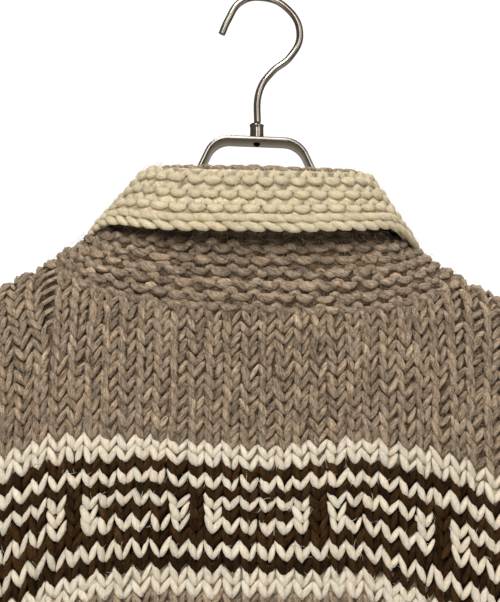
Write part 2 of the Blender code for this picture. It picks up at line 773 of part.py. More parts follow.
def offset_path(points, distance):
    moved = []
    for k, (x, z) in enumerate(points):
        before, after = points[max(k - 1, 0)], points[min(k + 1, len(points) - 1)]
        dx, dz = after[0] - before[0], after[1] - before[1]
        size = math.hypot(dx, dz)
        moved.append((x - dz / size * distance, z + dx / size * distance))
    return moved


def closed_mesh(curve):
    """A curve as a mesh, with the points that its caps and sides share welded."""
    drawn = bpy.data.objects.new(curve.name, curve)
    bpy.context.scene.collection.objects.link(drawn)
    bpy.context.view_layer.update()
    graph = bpy.context.evaluated_depsgraph_get()
    data = bpy.data.meshes.new_from_object(drawn.evaluated_get(graph))
    bpy.data.objects.remove(drawn)
    welded = bmesh.new()
    welded.from_mesh(data)
    bmesh.ops.remove_doubles(welded, verts=welded.verts, dist=1e-5)
    bmesh.ops.recalc_face_normals(welded, faces=welded.faces)
    welded.to_mesh(data)
    welded.free()
    return data


def make_bar(look, into, cutters):
    """The bar is a flat outline seen from the front, drawn out to the bar's width."""
    right = bar_path()
    whole = [(-x, z) for x, z in reversed(right[1:])] + right
    outline = offset_path(whole, BAR_THICK / 2) + offset_path(whole, -BAR_THICK / 2)[::-1]
    curve = bpy.data.curves.new("bar_outline", "CURVE")
    curve.dimensions = "2D"
    curve.fill_mode = "BOTH"
    curve.extrude = BAR_WIDTH / 2
    spline = curve.splines.new("POLY")
    spline.points.add(len(outline) - 1)
    for point, (x, z) in zip(spline.points, outline):
        point.co = (x, z + HANG_TILT * x, 0, 1)
    spline.use_cyclic_u = True
    data = closed_mesh(curve)
    data.transform(Matrix.Rotation(math.pi / 2, 4, "X"))
    bar = place("hanger_bar", data, look, into)
    drill(bar, cutters, Vector((0, 0, BAR_TOP)), BAR_HOLE_RADIUS, Vector((0, 0, 1)))


def make_ferrule(look, into):
    """The turned sleeve that holds the hook on the bar."""
    bottom = BAR_TOP + SEAM
    bpy.ops.mesh.primitive_cylinder_add(
        vertices=20,
        radius=FERRULE_RADIUS,
        depth=FERRULE_HEIGHT,
        location=(0, 0, bottom + FERRULE_HEIGHT / 2),
    )
    ferrule = bpy.context.object
    ferrule.name = "hanger_ferrule"
    for owner in list(ferrule.users_collection):
        owner.objects.unlink(ferrule)
    into.objects.link(ferrule)
    ferrule.data.materials.append(look)
    bevel = ferrule.modifiers.new("edge", "BEVEL")
    bevel.width = 0.0008
    bevel.segments = 2
    return bottom + FERRULE_HEIGHT


def make_hook(foot, look, into):
    """Round wire, open towards the wearer's left."""
    curve = bpy.data.curves.new("hanger_hook", "CURVE")
    curve.dimensions = "3D"
    curve.bevel_depth = HOOK_WIRE
    curve.bevel_resolution = 2
    curve.use_fill_caps = True
    curve.resolution_u = 4
    spline = curve.splines.new("BEZIER")
    spline.bezier_points.add(len(HOOK_POINTS) - 1)
    points = list(HOOK_POINTS[:-1]) + [(HOOK_POINTS[-1][0], foot + SEAM)]
    for knot, (right, up) in zip(spline.bezier_points, points):
        knot.co = (-right, 0, up)
        knot.handle_left_type = knot.handle_right_type = "AUTO"
    last = spline.bezier_points[-1]
    last.handle_left_type = last.handle_right_type = "FREE"
    last.handle_left = last.co + Vector((0, 0, 0.006))
    last.handle_right = last.co - Vector((0, 0, 0.006))
    place("hanger_hook", closed_mesh(curve), look, into)


def main():
    start_clean()
    garment = collection("cowichan_cardigan")
    cutters = collection("cutters")
    taupe = material("taupe_wool", YARN_TAUPE, 0.95)
    cream = material("cream_wool", YARN_CREAM, 0.95)
    wood = material("dark_wood", WOOD_BROWN, 0.35)
    nickel = material("satin_nickel", NICKEL, 0.32, 1.0)
    neck = make_body(taupe, garment)
    make_bands(taupe, garment)
    make_buttons(wood, garment, cutters)
    make_collar(neck, taupe, cream, garment)
    for name, hand in (("left", 1), ("right", -1)):
        make_sleeve(name, hand, taupe, garment)
        make_cuff(name, hand, taupe, garment)
    make_bar(nickel, garment, cutters)
    foot = make_ferrule(nickel, garment)
    make_hook(foot, nickel, garment)


main()
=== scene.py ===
import math

import bpy
import numpy as np
from mathutils import Matrix, Vector


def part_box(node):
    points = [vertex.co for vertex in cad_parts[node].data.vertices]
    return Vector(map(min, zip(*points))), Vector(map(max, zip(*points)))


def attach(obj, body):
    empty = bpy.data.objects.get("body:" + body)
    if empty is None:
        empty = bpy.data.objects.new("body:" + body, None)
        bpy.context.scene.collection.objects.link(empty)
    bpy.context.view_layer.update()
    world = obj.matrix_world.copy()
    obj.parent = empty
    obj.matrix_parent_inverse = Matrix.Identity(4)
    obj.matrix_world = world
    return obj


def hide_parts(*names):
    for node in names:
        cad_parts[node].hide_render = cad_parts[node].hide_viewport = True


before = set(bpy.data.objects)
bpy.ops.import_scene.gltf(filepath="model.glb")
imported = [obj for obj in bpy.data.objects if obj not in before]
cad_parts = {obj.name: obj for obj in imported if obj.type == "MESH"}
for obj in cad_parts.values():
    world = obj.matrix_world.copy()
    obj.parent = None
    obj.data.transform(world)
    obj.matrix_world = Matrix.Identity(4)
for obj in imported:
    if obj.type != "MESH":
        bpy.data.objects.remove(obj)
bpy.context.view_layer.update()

# ---- The studio ----------------------------------------------------------------------
# A pale floor far below the hanging garment, white surroundings, and large soft lamps
# above and around it. The camera looks level at the middle of the back.

CAMERA_PLACE = (0.004, 0.536, -0.177)
PICTURE_HEIGHT_PX = 602
FOCAL_LENGTH_PX = 909
SENSOR_HEIGHT = 24.0
FLOOR_Z = -0.93

camera_data = bpy.data.cameras.new("camera")
camera_data.sensor_fit = "VERTICAL"
camera_data.sensor_height = SENSOR_HEIGHT
camera_data.lens = SENSOR_HEIGHT * FOCAL_LENGTH_PX / PICTURE_HEIGHT_PX
camera_data.clip_start = 0.01
camera = bpy.data.objects.new("camera", camera_data)
camera.location = CAMERA_PLACE
camera.rotation_euler = (math.pi / 2, 0, math.pi)
bpy.context.scene.collection.objects.link(camera)
bpy.context.scene.camera = camera
bpy.context.scene.view_settings.view_transform = "Standard"


def add_lamp(name, place, target, size, power, colour=(1.0, 1.0, 1.0), tall=1.0):
    """A soft rectangular lamp that is turned to a target."""
    lamp_data = bpy.data.lights.new(name, "AREA")
    lamp_data.shape = "RECTANGLE"
    lamp_data.size = size
    lamp_data.size_y = size * tall
    lamp_data.energy = power
    lamp_data.color = colour
    lamp = bpy.data.objects.new(name, lamp_data)
    lamp.location = place
    lamp.rotation_euler = (Vector(target) - Vector(place)).to_track_quat("-Z", "Y").to_euler()
    bpy.context.scene.collection.objects.link(lamp)


YOKE = (0.0, 0.0, -0.25)
add_lamp("key_back", (0.32, 1.15, 0.98), YOKE, 0.5, 22.8, (1.0, 0.995, 0.985))
add_lamp("fill_back", (-0.9, 1.15, 0.25), YOKE, 0.9, 4.5)
add_lamp("soft_back", (0.02, 1.75, 0.42), YOKE, 0.34, 5.5, tall=2.2)
add_lamp("key_front", (-0.50, -1.20, 0.95), YOKE, 0.7, 21.0)
add_lamp("fill_low", (0.2, 0.9, -0.9), (0, 0, -0.5), 0.8, 2.0)


def set_inputs(node, inputs):
    """Sets inputs of a shader node, each to a plain value or to another node's output."""
    for name, value in inputs.items():
        if isinstance(value, bpy.types.NodeSocket):
            node.id_data.links.new(value, node.inputs[name])
        else:
            node.inputs[name].default_value = value


def add_node(tree, kind, inputs, **settings):
    """A new shader node with its settings and its inputs."""
    node = tree.nodes.new("ShaderNode" + kind)
    for name, value in settings.items():
        setattr(node, name, value)
    set_inputs(node, inputs)
    return node


def new_look(name, values):
    """A material whose shader has these plain values."""
    look = bpy.data.materials.new(name)
    look.use_nodes = True
    set_inputs(look.node_tree.nodes["Principled BSDF"], values)
    return look


def start_piece():
    """Leaves nothing selected, for the operators that follow."""
    for obj in bpy.context.selected_objects:
        obj.select_set(False)


world = bpy.data.worlds.new("studio")
world.use_nodes = True
sky = world.node_tree
wall_side = add_node(sky, "TexCoord", {})
facing_wall = add_node(sky, "SeparateXYZ", {"Vector": wall_side.outputs["Generated"]})
wall_light = add_node(sky, "MapRange", {
    "Value": facing_wall.outputs["Y"], "From Min": -0.6, "From Max": -0.98, "To Min": 0.22, "To Max": 0.80,
}, interpolation_type="SMOOTHSTEP")
surround = sky.nodes["Background"]
set_inputs(surround, {"Color": (1.0, 0.95, 0.885, 1.0), "Strength": wall_light.outputs["Result"]})
seen = add_node(sky, "Background", {"Color": (1.0, 1.0, 1.0, 1.0), "Strength": 1.05})
path = add_node(sky, "LightPath", {})
which = add_node(sky, "MixShader", {
    "Fac": path.outputs["Is Camera Ray"], 1: surround.outputs["Background"], 2: seen.outputs["Background"],
})
set_inputs(sky.nodes["World Output"], {"Surface": which.outputs["Shader"]})
bpy.context.scene.world = world

start_piece()
bpy.ops.mesh.primitive_circle_add(vertices=64, radius=2.2, fill_type="NGON", location=(0, 0, FLOOR_Z))
floor = bpy.context.object
floor.name = "floor"
floor.data.materials.append(new_look("pale_floor", {"Base Color": (0.80, 0.80, 0.79, 1), "Roughness": 0.85}))
floor.select_set(False)

# ---- The form of the hanging body ----------------------------------------------------
# The back and fronts hang from the arms of the hanger. A place on the cloth is given
# as "across" from the middle and "down" from the top of the shoulders, both in metres.

WALL = 0.005
SHOULDER_TOP = -0.1365
SHOULDER_SLOPE = math.tan(math.radians(31.5))
SLOPE_STARTS = 0.090
SLOPE_EASING = 0.030
HANG_TILT = 0.040
ARCH_HEIGHT = 0.090
NECK_HALF = 0.130
SHOULDER_HALF = 0.235
CHEST_HALF = 0.270
ARMHOLE_DEPTH = 0.235
ARMHOLE_CURVE = 0.060
BACK_NECK_DROP = 0.045
FRONT_NECK_DROP = 0.190
RIB_TOP = 0.590
HEM = 0.650
BAND_HALF = 0.018
BODY_SECTIONS = {
    "down": (0.000, 0.100, 0.235, 0.400, 0.590, 0.650),
    "half_width": (0.237, 0.237, 0.238, 0.237, 0.235, 0.226),
    "half_depth": (0.047, 0.050, 0.054, 0.057, 0.059, 0.054),
}
SECTION_SQUARENESS = 2.6
FOLD_DEPTH = 0.005
FOLD_WIDTH = 0.175
FOLD_SHIFT = 0.02
FOLDS_START = 0.220
FOLDS_FULL = 0.560
SEAM = 0.0004
FORM_REACH = 0.285
FORM_STEP = 0.005
LEVEL_STEP = 0.004
# How much of the shoulders' slope is lost between two distances down
SLOPE_LOSSES = ((0.45, 0.04, 0.20), (0.40, 0.20, HEM))
BACK_NECK_CURVE = 3.2
FRONT_NECK_CURVE = 0.9


def eased(value, low, high):
    """0 below low, 1 above high, with a smooth step between."""
    t = np.clip((np.asarray(value, float) - low) / (high - low), 0.0, 1.0)
    return t * t * (3 - 2 * t)


def unit(vectors):
    """The same vectors, each of length 1."""
    return vectors / np.maximum(np.linalg.norm(vectors, axis=-1, keepdims=True), 1e-12)


def body_row(across, down, side):
    """Points of the body's outer face, all at one distance down. Past a side seam the
    row goes on round the other side."""
    half_width = np.interp(down, BODY_SECTIONS["down"], BODY_SECTIONS["half_width"])
    half_depth = np.interp(down, BODY_SECTIONS["down"], BODY_SECTIONS["half_depth"])
    angle = np.linspace(0, math.pi / 2, 193)
    x = half_width * np.sin(angle) ** (2 / SECTION_SQUARENESS)
    y = half_depth * np.maximum(np.cos(angle), 0) ** (2 / SECTION_SQUARENESS)
    length = np.concatenate(([0], np.cumsum(np.hypot(np.diff(x), np.diff(y)))))
    share = np.abs(across) / CHEST_HALF
    past = share > 1
    share = np.where(past, 2 - share, share)
    x = np.copysign(np.interp(share * length[-1], length, x), across)
    y = np.interp(share * length[-1], length, y)
    to_arch = 1 - min(down / ARCH_HEIGHT, 1.0)
    y = y * math.sqrt(max(1 - to_arch**2, 0.0))
    lobe = np.cos(2 * math.pi * (across + FOLD_SHIFT * side) / FOLD_WIDTH)
    y = y + FOLD_DEPTH * lobe * (1 - share**4) * eased(down, FOLDS_START, FOLDS_FULL)
    y = np.maximum(y, SEAM / 2) * np.where(past, -side, side)
    t = np.abs(x) - SLOPE_STARTS
    drop = SHOULDER_SLOPE * 0.5 * (t + np.hypot(t, SLOPE_EASING))
    held_up = 1.0
    for lost, start, stop in SLOPE_LOSSES:
        held_up = held_up - lost * eased(down, start, stop)
    z = SHOULDER_TOP - down - drop * held_up + HANG_TILT * x
    return np.stack([x, y, z], axis=-1)


def make_form(points, out, round_it=False):
    """A grid of points that pieces are laid on, with its normals turned towards out, a
    direction for the middle of the grid. A round form closes on its first column."""
    if round_it:
        padded = np.concatenate([points[:, -2:-1], points, points[:, 1:2]], axis=1)
        along = np.gradient(padded, axis=1)[:, 1:-1]
    else:
        along = np.gradient(points, axis=1)
    normals = unit(np.cross(along, np.gradient(points, axis=0)))
    middle = normals[points.shape[0] // 2, points.shape[1] // 2]
    if np.dot(middle, out) < 0:
        normals = -normals
    return {"points": points, "normals": normals, "round": round_it}


def on_form(form, row, column, height=0.0):
    """Points at fractional rows and columns of a form, raised along its normals, and
    those normals."""
    rows, columns = form["points"].shape[:2]
    if form["round"]:
        column = np.mod(column, columns - 1)
    row = np.clip(row, 0, rows - 1.0001)
    column = np.clip(column, 0, columns - 1.0001)
    r, c = row.astype(int), column.astype(int)
    t, s = (row - r)[..., None], (column - c)[..., None]

    def read(grid):
        upper = grid[r, c] * (1 - s) + grid[r, c + 1] * s
        lower = grid[r + 1, c] * (1 - s) + grid[r + 1, c + 1] * s
        return upper * (1 - t) + lower * t

    normals = unit(read(form["normals"]))
    return read(form["points"]) + normals * np.asarray(height)[..., None], normals


body_levels = np.concatenate([
    ARCH_HEIGHT * (1 - np.cos(np.linspace(0, math.pi / 2, 28))),
    np.arange(ARCH_HEIGHT + LEVEL_STEP, HEM + LEVEL_STEP / 2, LEVEL_STEP),
])
body_across = np.arange(-FORM_REACH, FORM_REACH + FORM_STEP / 2, FORM_STEP)
body_forms = {}
for name, side in (("back", 1), ("front", -1)):
    grid = np.array([body_row(body_across, down, side) for down in body_levels])
    body_forms[name] = make_form(grid, (0, side, 0))


def row_of(down):
    """The row of a body form at a distance down."""
    return np.interp(down, body_levels, np.arange(len(body_levels)))


def column_of(across):
    """The column of a body form at a distance across."""
    return (np.asarray(across) + FORM_REACH) / FORM_STEP


def edge_across(down):
    """Half width of the flat panel: straight down the armhole, then out to the side."""
    t = np.clip((down - (ARMHOLE_DEPTH - ARMHOLE_CURVE)) / ARMHOLE_CURVE, 0.0, 1.0)
    return SHOULDER_HALF + (CHEST_HALF - SHOULDER_HALF) * (1 - np.sqrt(1 - t * t))


def neck_drop(across, side):
    """How far down the neck seam lies."""
    share = np.minimum(np.abs(across) / NECK_HALF, 1.0)
    if side > 0:
        return BACK_NECK_DROP * (1 - share**BACK_NECK_CURVE)
    inner = BAND_HALF / NECK_HALF
    return FRONT_NECK_DROP * ((1 - share) / (1 - inner)) ** FRONT_NECK_CURVE


# ---- Hand-spun wool ------------------------------------------------------------------
# Thick, softly twisted yarn. Each visible strand of it is a small closed grain, laid on
# a form. It carries its own colour, and its own place along the yarn for the fibres.

# Colour of each yarn (E is the cream of the collar: its own tint, and darker than C as
# painted shade for the lit fall), then how uneven it is along its fibres and from stitch to stitch
YARNS = {
    "T": ((0.290, 0.219, 0.151), 1.00, 0.10),
    "C": ((0.683, 0.601, 0.473), 0.22, 0.035),
    "E": ((0.590, 0.505, 0.343), 0.22, 0.022),
    "D": ((0.0335, 0.0155, 0.0046), 1.00, 0.18),
}
YARN_FLATTENED = 0.86
YARN_TWIST = 0.22
# Each strand has its own place in so many millimetres of yarn
BALL_OF_YARN = 400
# How the colour changes: share of the slow changes, warmth, and the palest and darkest
SLOW_SHARE = 0.45
WARMTH = 0.012
SHADE_LIMITS = (0.55, 1.6)
FIBRE_TURN = 0.75
FIBRE_LENGTH = (0.0030, 0.0085)
FIBRE_BOW = 0.0009
FIBRE_RADIUS = (0.00007, 0.00012)
FIBRE_SHADE = (1.25, 1.25, 1.25, 0.3)
FIBRE_UNEVEN = (0.8, 1.2)
# Each stray fibre's four stations: along it, how bowed it is there and how far it drops
FIBRE_LINE = ((-0.5, 0.0, 0.0013), (-0.18, 1.0, 0.0), (0.2, 0.9, 0.0), (0.5, 0.0, 0.0012))


def closed_grains(name, centres, normals, radii, colours, sides, rng):
    """One mesh of closed grains. centres is strands by stations; the two end stations
    are points, and radii holds the half widths of the stations between them."""
    strands, stations = centres.shape[:2]
    rings = stations - 2
    ahead = unit(np.gradient(centres, axis=1))
    aside = unit(np.cross(ahead, normals))
    lift = np.cross(aside, ahead)
    angle = math.pi / 2 + 2 * math.pi * np.arange(sides) / sides
    cosine, sine = np.cos(angle)[:, None], np.sin(angle)[:, None] * YARN_FLATTENED
    spread = aside[:, 1:-1, None] * cosine + lift[:, 1:-1, None] * sine
    body = centres[:, 1:-1, None] + spread * radii[..., None, None]
    body = body.reshape(strands, rings * sides, 3)
    points = np.concatenate([centres[:, :1], body, centres[:, -1:]], axis=1)

    step = np.linalg.norm(np.diff(centres, axis=1), axis=-1)
    run = np.concatenate([np.zeros((strands, 1)), np.cumsum(step, axis=1)], axis=1) * 1000
    shift = rng.uniform(0, BALL_OF_YARN, (strands, 1, 3))
    fibre = np.zeros_like(points)
    fibre[:, 0, 0] = run[:, 0]
    fibre[:, -1, 0] = run[:, -1]
    fibre[:, 1:-1, 0] = np.repeat(run[:, 1:-1], sides, axis=1)
    wide = np.repeat(radii * 1000, sides, axis=1)
    turned = np.tile(angle, rings)[None] + YARN_TWIST * fibre[:, 1:-1, 0]
    fibre[:, 1:-1, 1] = wide * np.cos(turned)
    fibre[:, 1:-1, 2] = wide * np.sin(turned)
    fibre += shift

    corner, starts = [], []
    for k in range(sides):
        n = (k + 1) % sides
        starts.append(len(corner))
        corner += [0, 1 + n, 1 + k]
        for r in range(rings - 1):
            a, b = 1 + r * sides, 1 + (r + 1) * sides
            starts.append(len(corner))
            corner += [a + k, a + n, b + n, b + k]
        starts.append(len(corner))
        last = 1 + (rings - 1) * sides
        corner += [last + k, last + n, 1 + rings * sides]
    per = points.shape[1]
    corners = np.array(corner)[None] + per * np.arange(strands)[:, None]
    begins = np.array(starts)[None] + len(corner) * np.arange(strands)[:, None]
    return mesh_object(name, points, corners, begins, np.repeat(colours, per, axis=0), fibre)


def mesh_object(name, points, corners, begins, colours, fibre):
    """A smooth mesh with each point's yarn colour and place along the yarn."""
    data = bpy.data.meshes.new(name)
    data.vertices.add(points.size // 3)
    data.vertices.foreach_set("co", points.astype(np.float32).ravel())
    data.loops.add(corners.size)
    data.loops.foreach_set("vertex_index", corners.astype(np.int32).ravel())
    data.polygons.add(begins.size)
    data.polygons.foreach_set("loop_start", begins.astype(np.int32).ravel())
    data.update(calc_edges=True)
    data.validate()
    data.shade_smooth()
    rgba = colours.reshape(-1, 4)
    colour = data.attributes.new("yarn_colour", "FLOAT_COLOR", "POINT")
    colour.data.foreach_set("color", rgba.astype(np.float32).ravel())
    place = data.attributes.new("yarn_place", "FLOAT_VECTOR", "POINT")
    place.data.foreach_set("vector", fibre.astype(np.float32).ravel())
    made = bpy.data.objects.new(name, data)
    bpy.context.scene.collection.objects.link(made)
    return made


def stray_fibres(name, form, row, column, colours, low, high, rng):
    """Fine fibres that lie over the knitting, each a thin closed needle. They lean every
    way, and their middles rise between the heights low and high, in millimetres."""
    count = len(row)
    place, normal = on_form(form, row, column)
    ahead, _ = on_form(form, row + 0.5, column)
    up = unit(place - ahead)
    aside = unit(np.cross(up, normal))
    angle = rng.normal(0, FIBRE_TURN, (count, 1))
    along = up * np.cos(angle) + aside * np.sin(angle)
    across = aside * np.cos(angle) - up * np.sin(angle)
    length = rng.uniform(*FIBRE_LENGTH, (count, 1))
    bow = rng.normal(0, FIBRE_BOW, (count, 1))
    middle = rng.uniform(low, high, (count, 1)) / 1000
    centres = np.stack([
        place + along * length * t + across * bow * bowed + normal * (middle - dropped)
        for t, bowed, dropped in FIBRE_LINE
    ], axis=1)
    radii = rng.uniform(*FIBRE_RADIUS, (count, 1)) * np.ones((1, 2))
    tint = colours * np.array(FIBRE_SHADE) * rng.uniform(*FIBRE_UNEVEN, (count, 1))
    return closed_grains(name, centres, np.repeat(normal[:, None], 4, axis=1), radii, tint, 3, rng)


def new_effect(name, **sockets):
    """An empty shader group with named inputs and outputs."""
    group = bpy.data.node_groups.new(name, "ShaderNodeTree")
    for socket, (in_out, kind) in sockets.items():
        group.interface.new_socket(name=socket, in_out=in_out, socket_type="NodeSocket" + kind)
    return group


def wool_fibres():
    """Shared effect: fibres that run along the yarn, as streaks of tone and of height.
    The alpha of the yarn's colour says how strong its streaks are."""
    group = new_effect("wool_fibres", Colour=("OUTPUT", "Color"), Height=("OUTPUT", "Float"))
    place = add_node(group, "Attribute", {}, attribute_name="yarn_place")
    tint = add_node(group, "Attribute", {}, attribute_name="yarn_colour")

    def streaks(stretch, scale, detail):
        mapping = add_node(group, "Mapping", {"Vector": place.outputs["Vector"], "Scale": stretch})
        noise = add_node(group, "TexNoise", {
            "Vector": mapping.outputs["Vector"], "Scale": scale, "Detail": detail,
        })
        return noise.outputs["Fac"]

    def math_node(operation, a, b):
        return add_node(group, "Math", {0: a, 1: b}, operation=operation).outputs[0]

    locks = streaks((0.25, 1.0, 1.0), 0.60, 1.0)
    hairs = streaks((0.30, 1.0, 1.0), 1.9, 2.0)
    mixed = math_node("ADD", math_node("MULTIPLY", locks, 0.45), math_node("MULTIPLY", hairs, 0.55))
    tone = math_node("MULTIPLY", math_node("SUBTRACT", mixed, 0.5), 4.5)
    tone = math_node("MULTIPLY", tone, tint.outputs["Alpha"])
    factor = math_node("MAXIMUM", math_node("ADD", tone, 1.0), 0.25)
    scaled = add_node(group, "VectorMath", {0: tint.outputs["Color"], "Scale": factor}, operation="SCALE")
    result = group.nodes.new("NodeGroupOutput")
    set_inputs(result, {"Colour": scaled.outputs["Vector"], "Height": mixed})
    return group


FIBRES = wool_fibres()


def wool(name):
    """Matt wool: the fibres give tone and fine relief, and sheen its soft nap."""
    look = new_look(name, {
        "Roughness": 0.92, "Specular IOR Level": 0.04, "Sheen Weight": 0.01, "Sheen Roughness": 0.6,
        "Subsurface Weight": 0.35, "Subsurface Radius": (1.0, 0.75, 0.5), "Subsurface Scale": 0.0016,
    })
    tree = look.node_tree
    fibres = add_node(tree, "Group", {}, node_tree=FIBRES)
    relief = add_node(tree, "Bump", {"Strength": 0.8, "Distance": 0.0012, "Height": fibres.outputs["Height"]})
    set_inputs(tree.nodes["Principled BSDF"], {
        "Base Color": fibres.outputs["Colour"], "Normal": relief.outputs["Normal"],
    })
    return look


knit_wool = wool("knit_wool")


def dress(piece, look):
    """Gives a piece its finish and its place on the one rigid body."""
    piece.data.materials.append(look)
    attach(piece, "root")
    return piece


# ---- Stocking stitch and the banded pattern ------------------------------------------
# Each stitch is a V of two grains: its foot lies over the row below, and its tips tuck
# under the row above. The pattern is a traditional band with a repeat of 7 stitches.

COLUMN = 0.00993
ROWS_UP = 20
ROWS_DOWN = 62
BAND_CHART = (
    "CCCCCCC",
    "CCCCCCC",
    "DDDDDDD",
    "CCCCCCC",
    "DDDDDDD",
    "DCCCCCC",
    "DCDDDDC",
    "DCCCCCC",
    "DDDDDDD",
    "CCCCCCC",
    "DDDDDDD",
    "CCCCCCC",
    "CCCCCCC",
)
FIRST_BAR_COLUMN = 3
DARK_FLOATS = range(2, 11)
ROW_STEPS = (10.1, 11.2, 11.2, 11.2, 10.2, 10.2, 12.0, 12.0, 12.8, 12.8, 12.8)
YOKE_ROW = (0.0061, 0.0071)
ROW_OVER_TOP = 0.0063

# Height of two rows of the band, the first and the twelfth, as the garment hangs
BAND_LINES = {
    "across": (-0.285, -0.235, -0.140, -0.110, -0.085, -0.065, -0.045, -0.020, 0.000,
               0.025, 0.045, 0.066, 0.097, 0.117, 0.137, 0.235, 0.285),
    "first": (-0.322, -0.311, -0.2720, -0.2592, -0.2540, -0.2508, -0.2508, -0.2529, -0.2545,
              -0.2534, -0.2508, -0.2487, -0.2489, -0.2501, -0.2561, -0.296, -0.310),
    "twelfth": (-0.400, -0.391, -0.3520, -0.3400, -0.3300, -0.3215, -0.3190, -0.3205, -0.3205,
                -0.3191, -0.3183, -0.3187, -0.3228, -0.3280, -0.3378, -0.380, -0.392),
}

# One leg of a stitch: to the right of the column's middle and up, as shares of a stitch,
# then the height over the cloth and the half width of the yarn, in millimetres, and how
# plump each yarn is
LEG_FINE = {
    "right": (0.00, 0.05, 0.14, 0.24, 0.34, 0.44, 0.51),
    "up": (-0.42, -0.24, 0.06, 0.38, 0.70, 1.00, 1.22),
    "height": (-1.2, -0.5, 0.2, 0.3, 0.1, -0.4, -1.3),
    "half_width": (1.45, 2.05, 2.2, 1.95, 1.35),
    "plump": {"T": 0.98, "C": 1.00, "D": 1.02},
}
LEG_PLAIN = {
    "right": (0.01, 0.09, 0.22, 0.37, 0.47),
    "up": (-0.42, -0.12, 0.36, 0.86, 1.20),
    "height": (-1.2, 0.0, 0.4, -0.5, -1.7),
    "half_width": (1.95, 2.45, 1.5),
    "plump": {"T": 1.0, "C": 0.92, "D": 1.08},
}
# Of the left and the right leg: how thick it is and how far it leans out
LEG_SIDES = ((-1, 1.0, 0.95), (1, 0.80, 1.04))
# How much the stitches differ, as shares of a stitch, and their height in millimetres
UNEVEN = {"aside": 0.032, "slant": 0.08, "length": 0.05, "along": 0.06, "height": 0.28, "plump": 0.09}
TOP_ROW = 0.3
NECK_OVERLAP = 0.0035
EDGE_OVERLAP = 0.4 * COLUMN


def band_colour(row, column):
    """The yarn of a stitch: C cream, D dark, T the taupe ground."""
    if not 0 <= row < len(BAND_CHART):
        return "T"
    return BAND_CHART[row][(column - FIRST_BAR_COLUMN) % 7]


def yarn_colours(kinds, rng):
    """Each strand's own shade, with slow changes along the yarn. The ground is heathered,
    the cream and dark are even."""
    base = np.array([YARNS[kind][0] for kind in kinds])
    fibre = np.array([YARNS[kind][1] for kind in kinds])
    uneven = np.array([YARNS[kind][2] for kind in kinds])
    slow = np.convolve(rng.standard_normal(len(kinds) + 16), np.hanning(17), mode="valid")
    shade = rng.standard_normal(len(kinds)) + SLOW_SHARE * slow
    shade = np.clip(1 + uneven * shade, *SHADE_LIMITS)
    warm = 1 + WARMTH * rng.standard_normal(len(kinds))
    tinted = base * shade[:, None] * np.stack([warm, np.ones_like(warm), 2 - warm], axis=1)
    return np.concatenate([tinted, fibre[:, None]], axis=1)


def run_along(line):
    """How far along a line each of its points lies."""
    return np.concatenate(([0], np.cumsum(np.linalg.norm(np.diff(line, axis=0), axis=-1))))


def body_lattice(form, side, columns):
    """Rows of the form for every row of knitting on every column line. Rows follow the
    two lines of the band, and run out evenly to the shoulders and the rib."""
    rows = []
    for column in columns:
        across = column * COLUMN * -side
        index = np.arange(len(body_levels), dtype=float)
        line, _ = on_form(form, index, np.full(len(index), column_of(across)))
        run = run_along(line)
        first = np.interp(across, BAND_LINES["across"], BAND_LINES["first"])
        twelfth = np.interp(across, BAND_LINES["across"], BAND_LINES["twelfth"])
        run_first = np.interp(-first, -line[:, 2], run)
        run_twelfth = np.interp(-twelfth, -line[:, 2], run)
        run_rib = np.interp(RIB_TOP, body_levels, run)
        band = (run_twelfth - run_first) / len(ROW_STEPS)
        above = run_first - np.clip(band, *YOKE_ROW) * np.arange(ROWS_UP, 0, -1)
        steps = np.concatenate(([0], np.cumsum(ROW_STEPS))) / np.sum(ROW_STEPS)
        inside = run_first + (run_twelfth - run_first) * steps
        below = run_twelfth + (run_rib - run_twelfth) / ROWS_DOWN * np.arange(1, ROWS_DOWN + 1)
        runs = np.concatenate([above, inside, below])
        found = np.interp(runs, run, index)
        rows.append(np.where(runs < 0, runs / ROW_OVER_TOP, found))
    return np.array(rows).T


def between(lines, row, column, share):
    """Places on a row, at shares of the way from one column to the next."""
    return lines[row, column][:, None] * (1 - share) + lines[row, column + 1][:, None] * share


def lay_stitches(name, form, form_rows, form_columns, cells, kinds, leg, sides, rng):
    """Two legs for each cell. form_rows and form_columns hold the places of the row and
    column lines; cells lists the row and column of each stitch."""
    row, column = np.array(cells).T
    rows, columns, heights, widths = [], [], [], []

    def differ(what):
        return rng.normal(0, UNEVEN[what], (len(row), 1))

    for hand, thick, lean in LEG_SIDES:
        u = 0.5 + hand * np.array(leg["right"]) * lean
        v = np.array(leg["up"])
        u = u[None] + differ("aside") + differ("slant") * (v[None] - 0.4)
        v = v[None] * (1 + differ("length")) + differ("along")
        for lines, places in ((form_rows, rows), (form_columns, columns)):
            low, high = (between(lines, r, column, u) for r in (row + 1, row))
            places.append(low * (1 - v) + high * v)
        heights.append((np.array(leg["height"])[None] + differ("height")) / 1000)
        fat = thick * (1 + differ("plump")) * np.array([[leg["plump"][k]] for k in kinds])
        widths.append(np.array(leg["half_width"])[None] * fat / 1000)
    centres, normals = on_form(form, *(np.concatenate(values) for values in (rows, columns, heights)))
    colours = yarn_colours(list(kinds) * 2, rng)
    return closed_grains(name, centres, normals, np.concatenate(widths), colours, sides, rng)


def wander(shape, size, rng):
    """Slow wandering of the lines of hand knitting, of about the size given."""
    rough = rng.standard_normal((shape[0] // 5 + 3, shape[1]))
    down = np.linspace(0, rough.shape[0] - 1.001, shape[0])
    k, t = down.astype(int), (down % 1)[:, None]
    t = t * t * (3 - 2 * t)
    return size * (rough[k] * (1 - t) + rough[k + 1] * t)


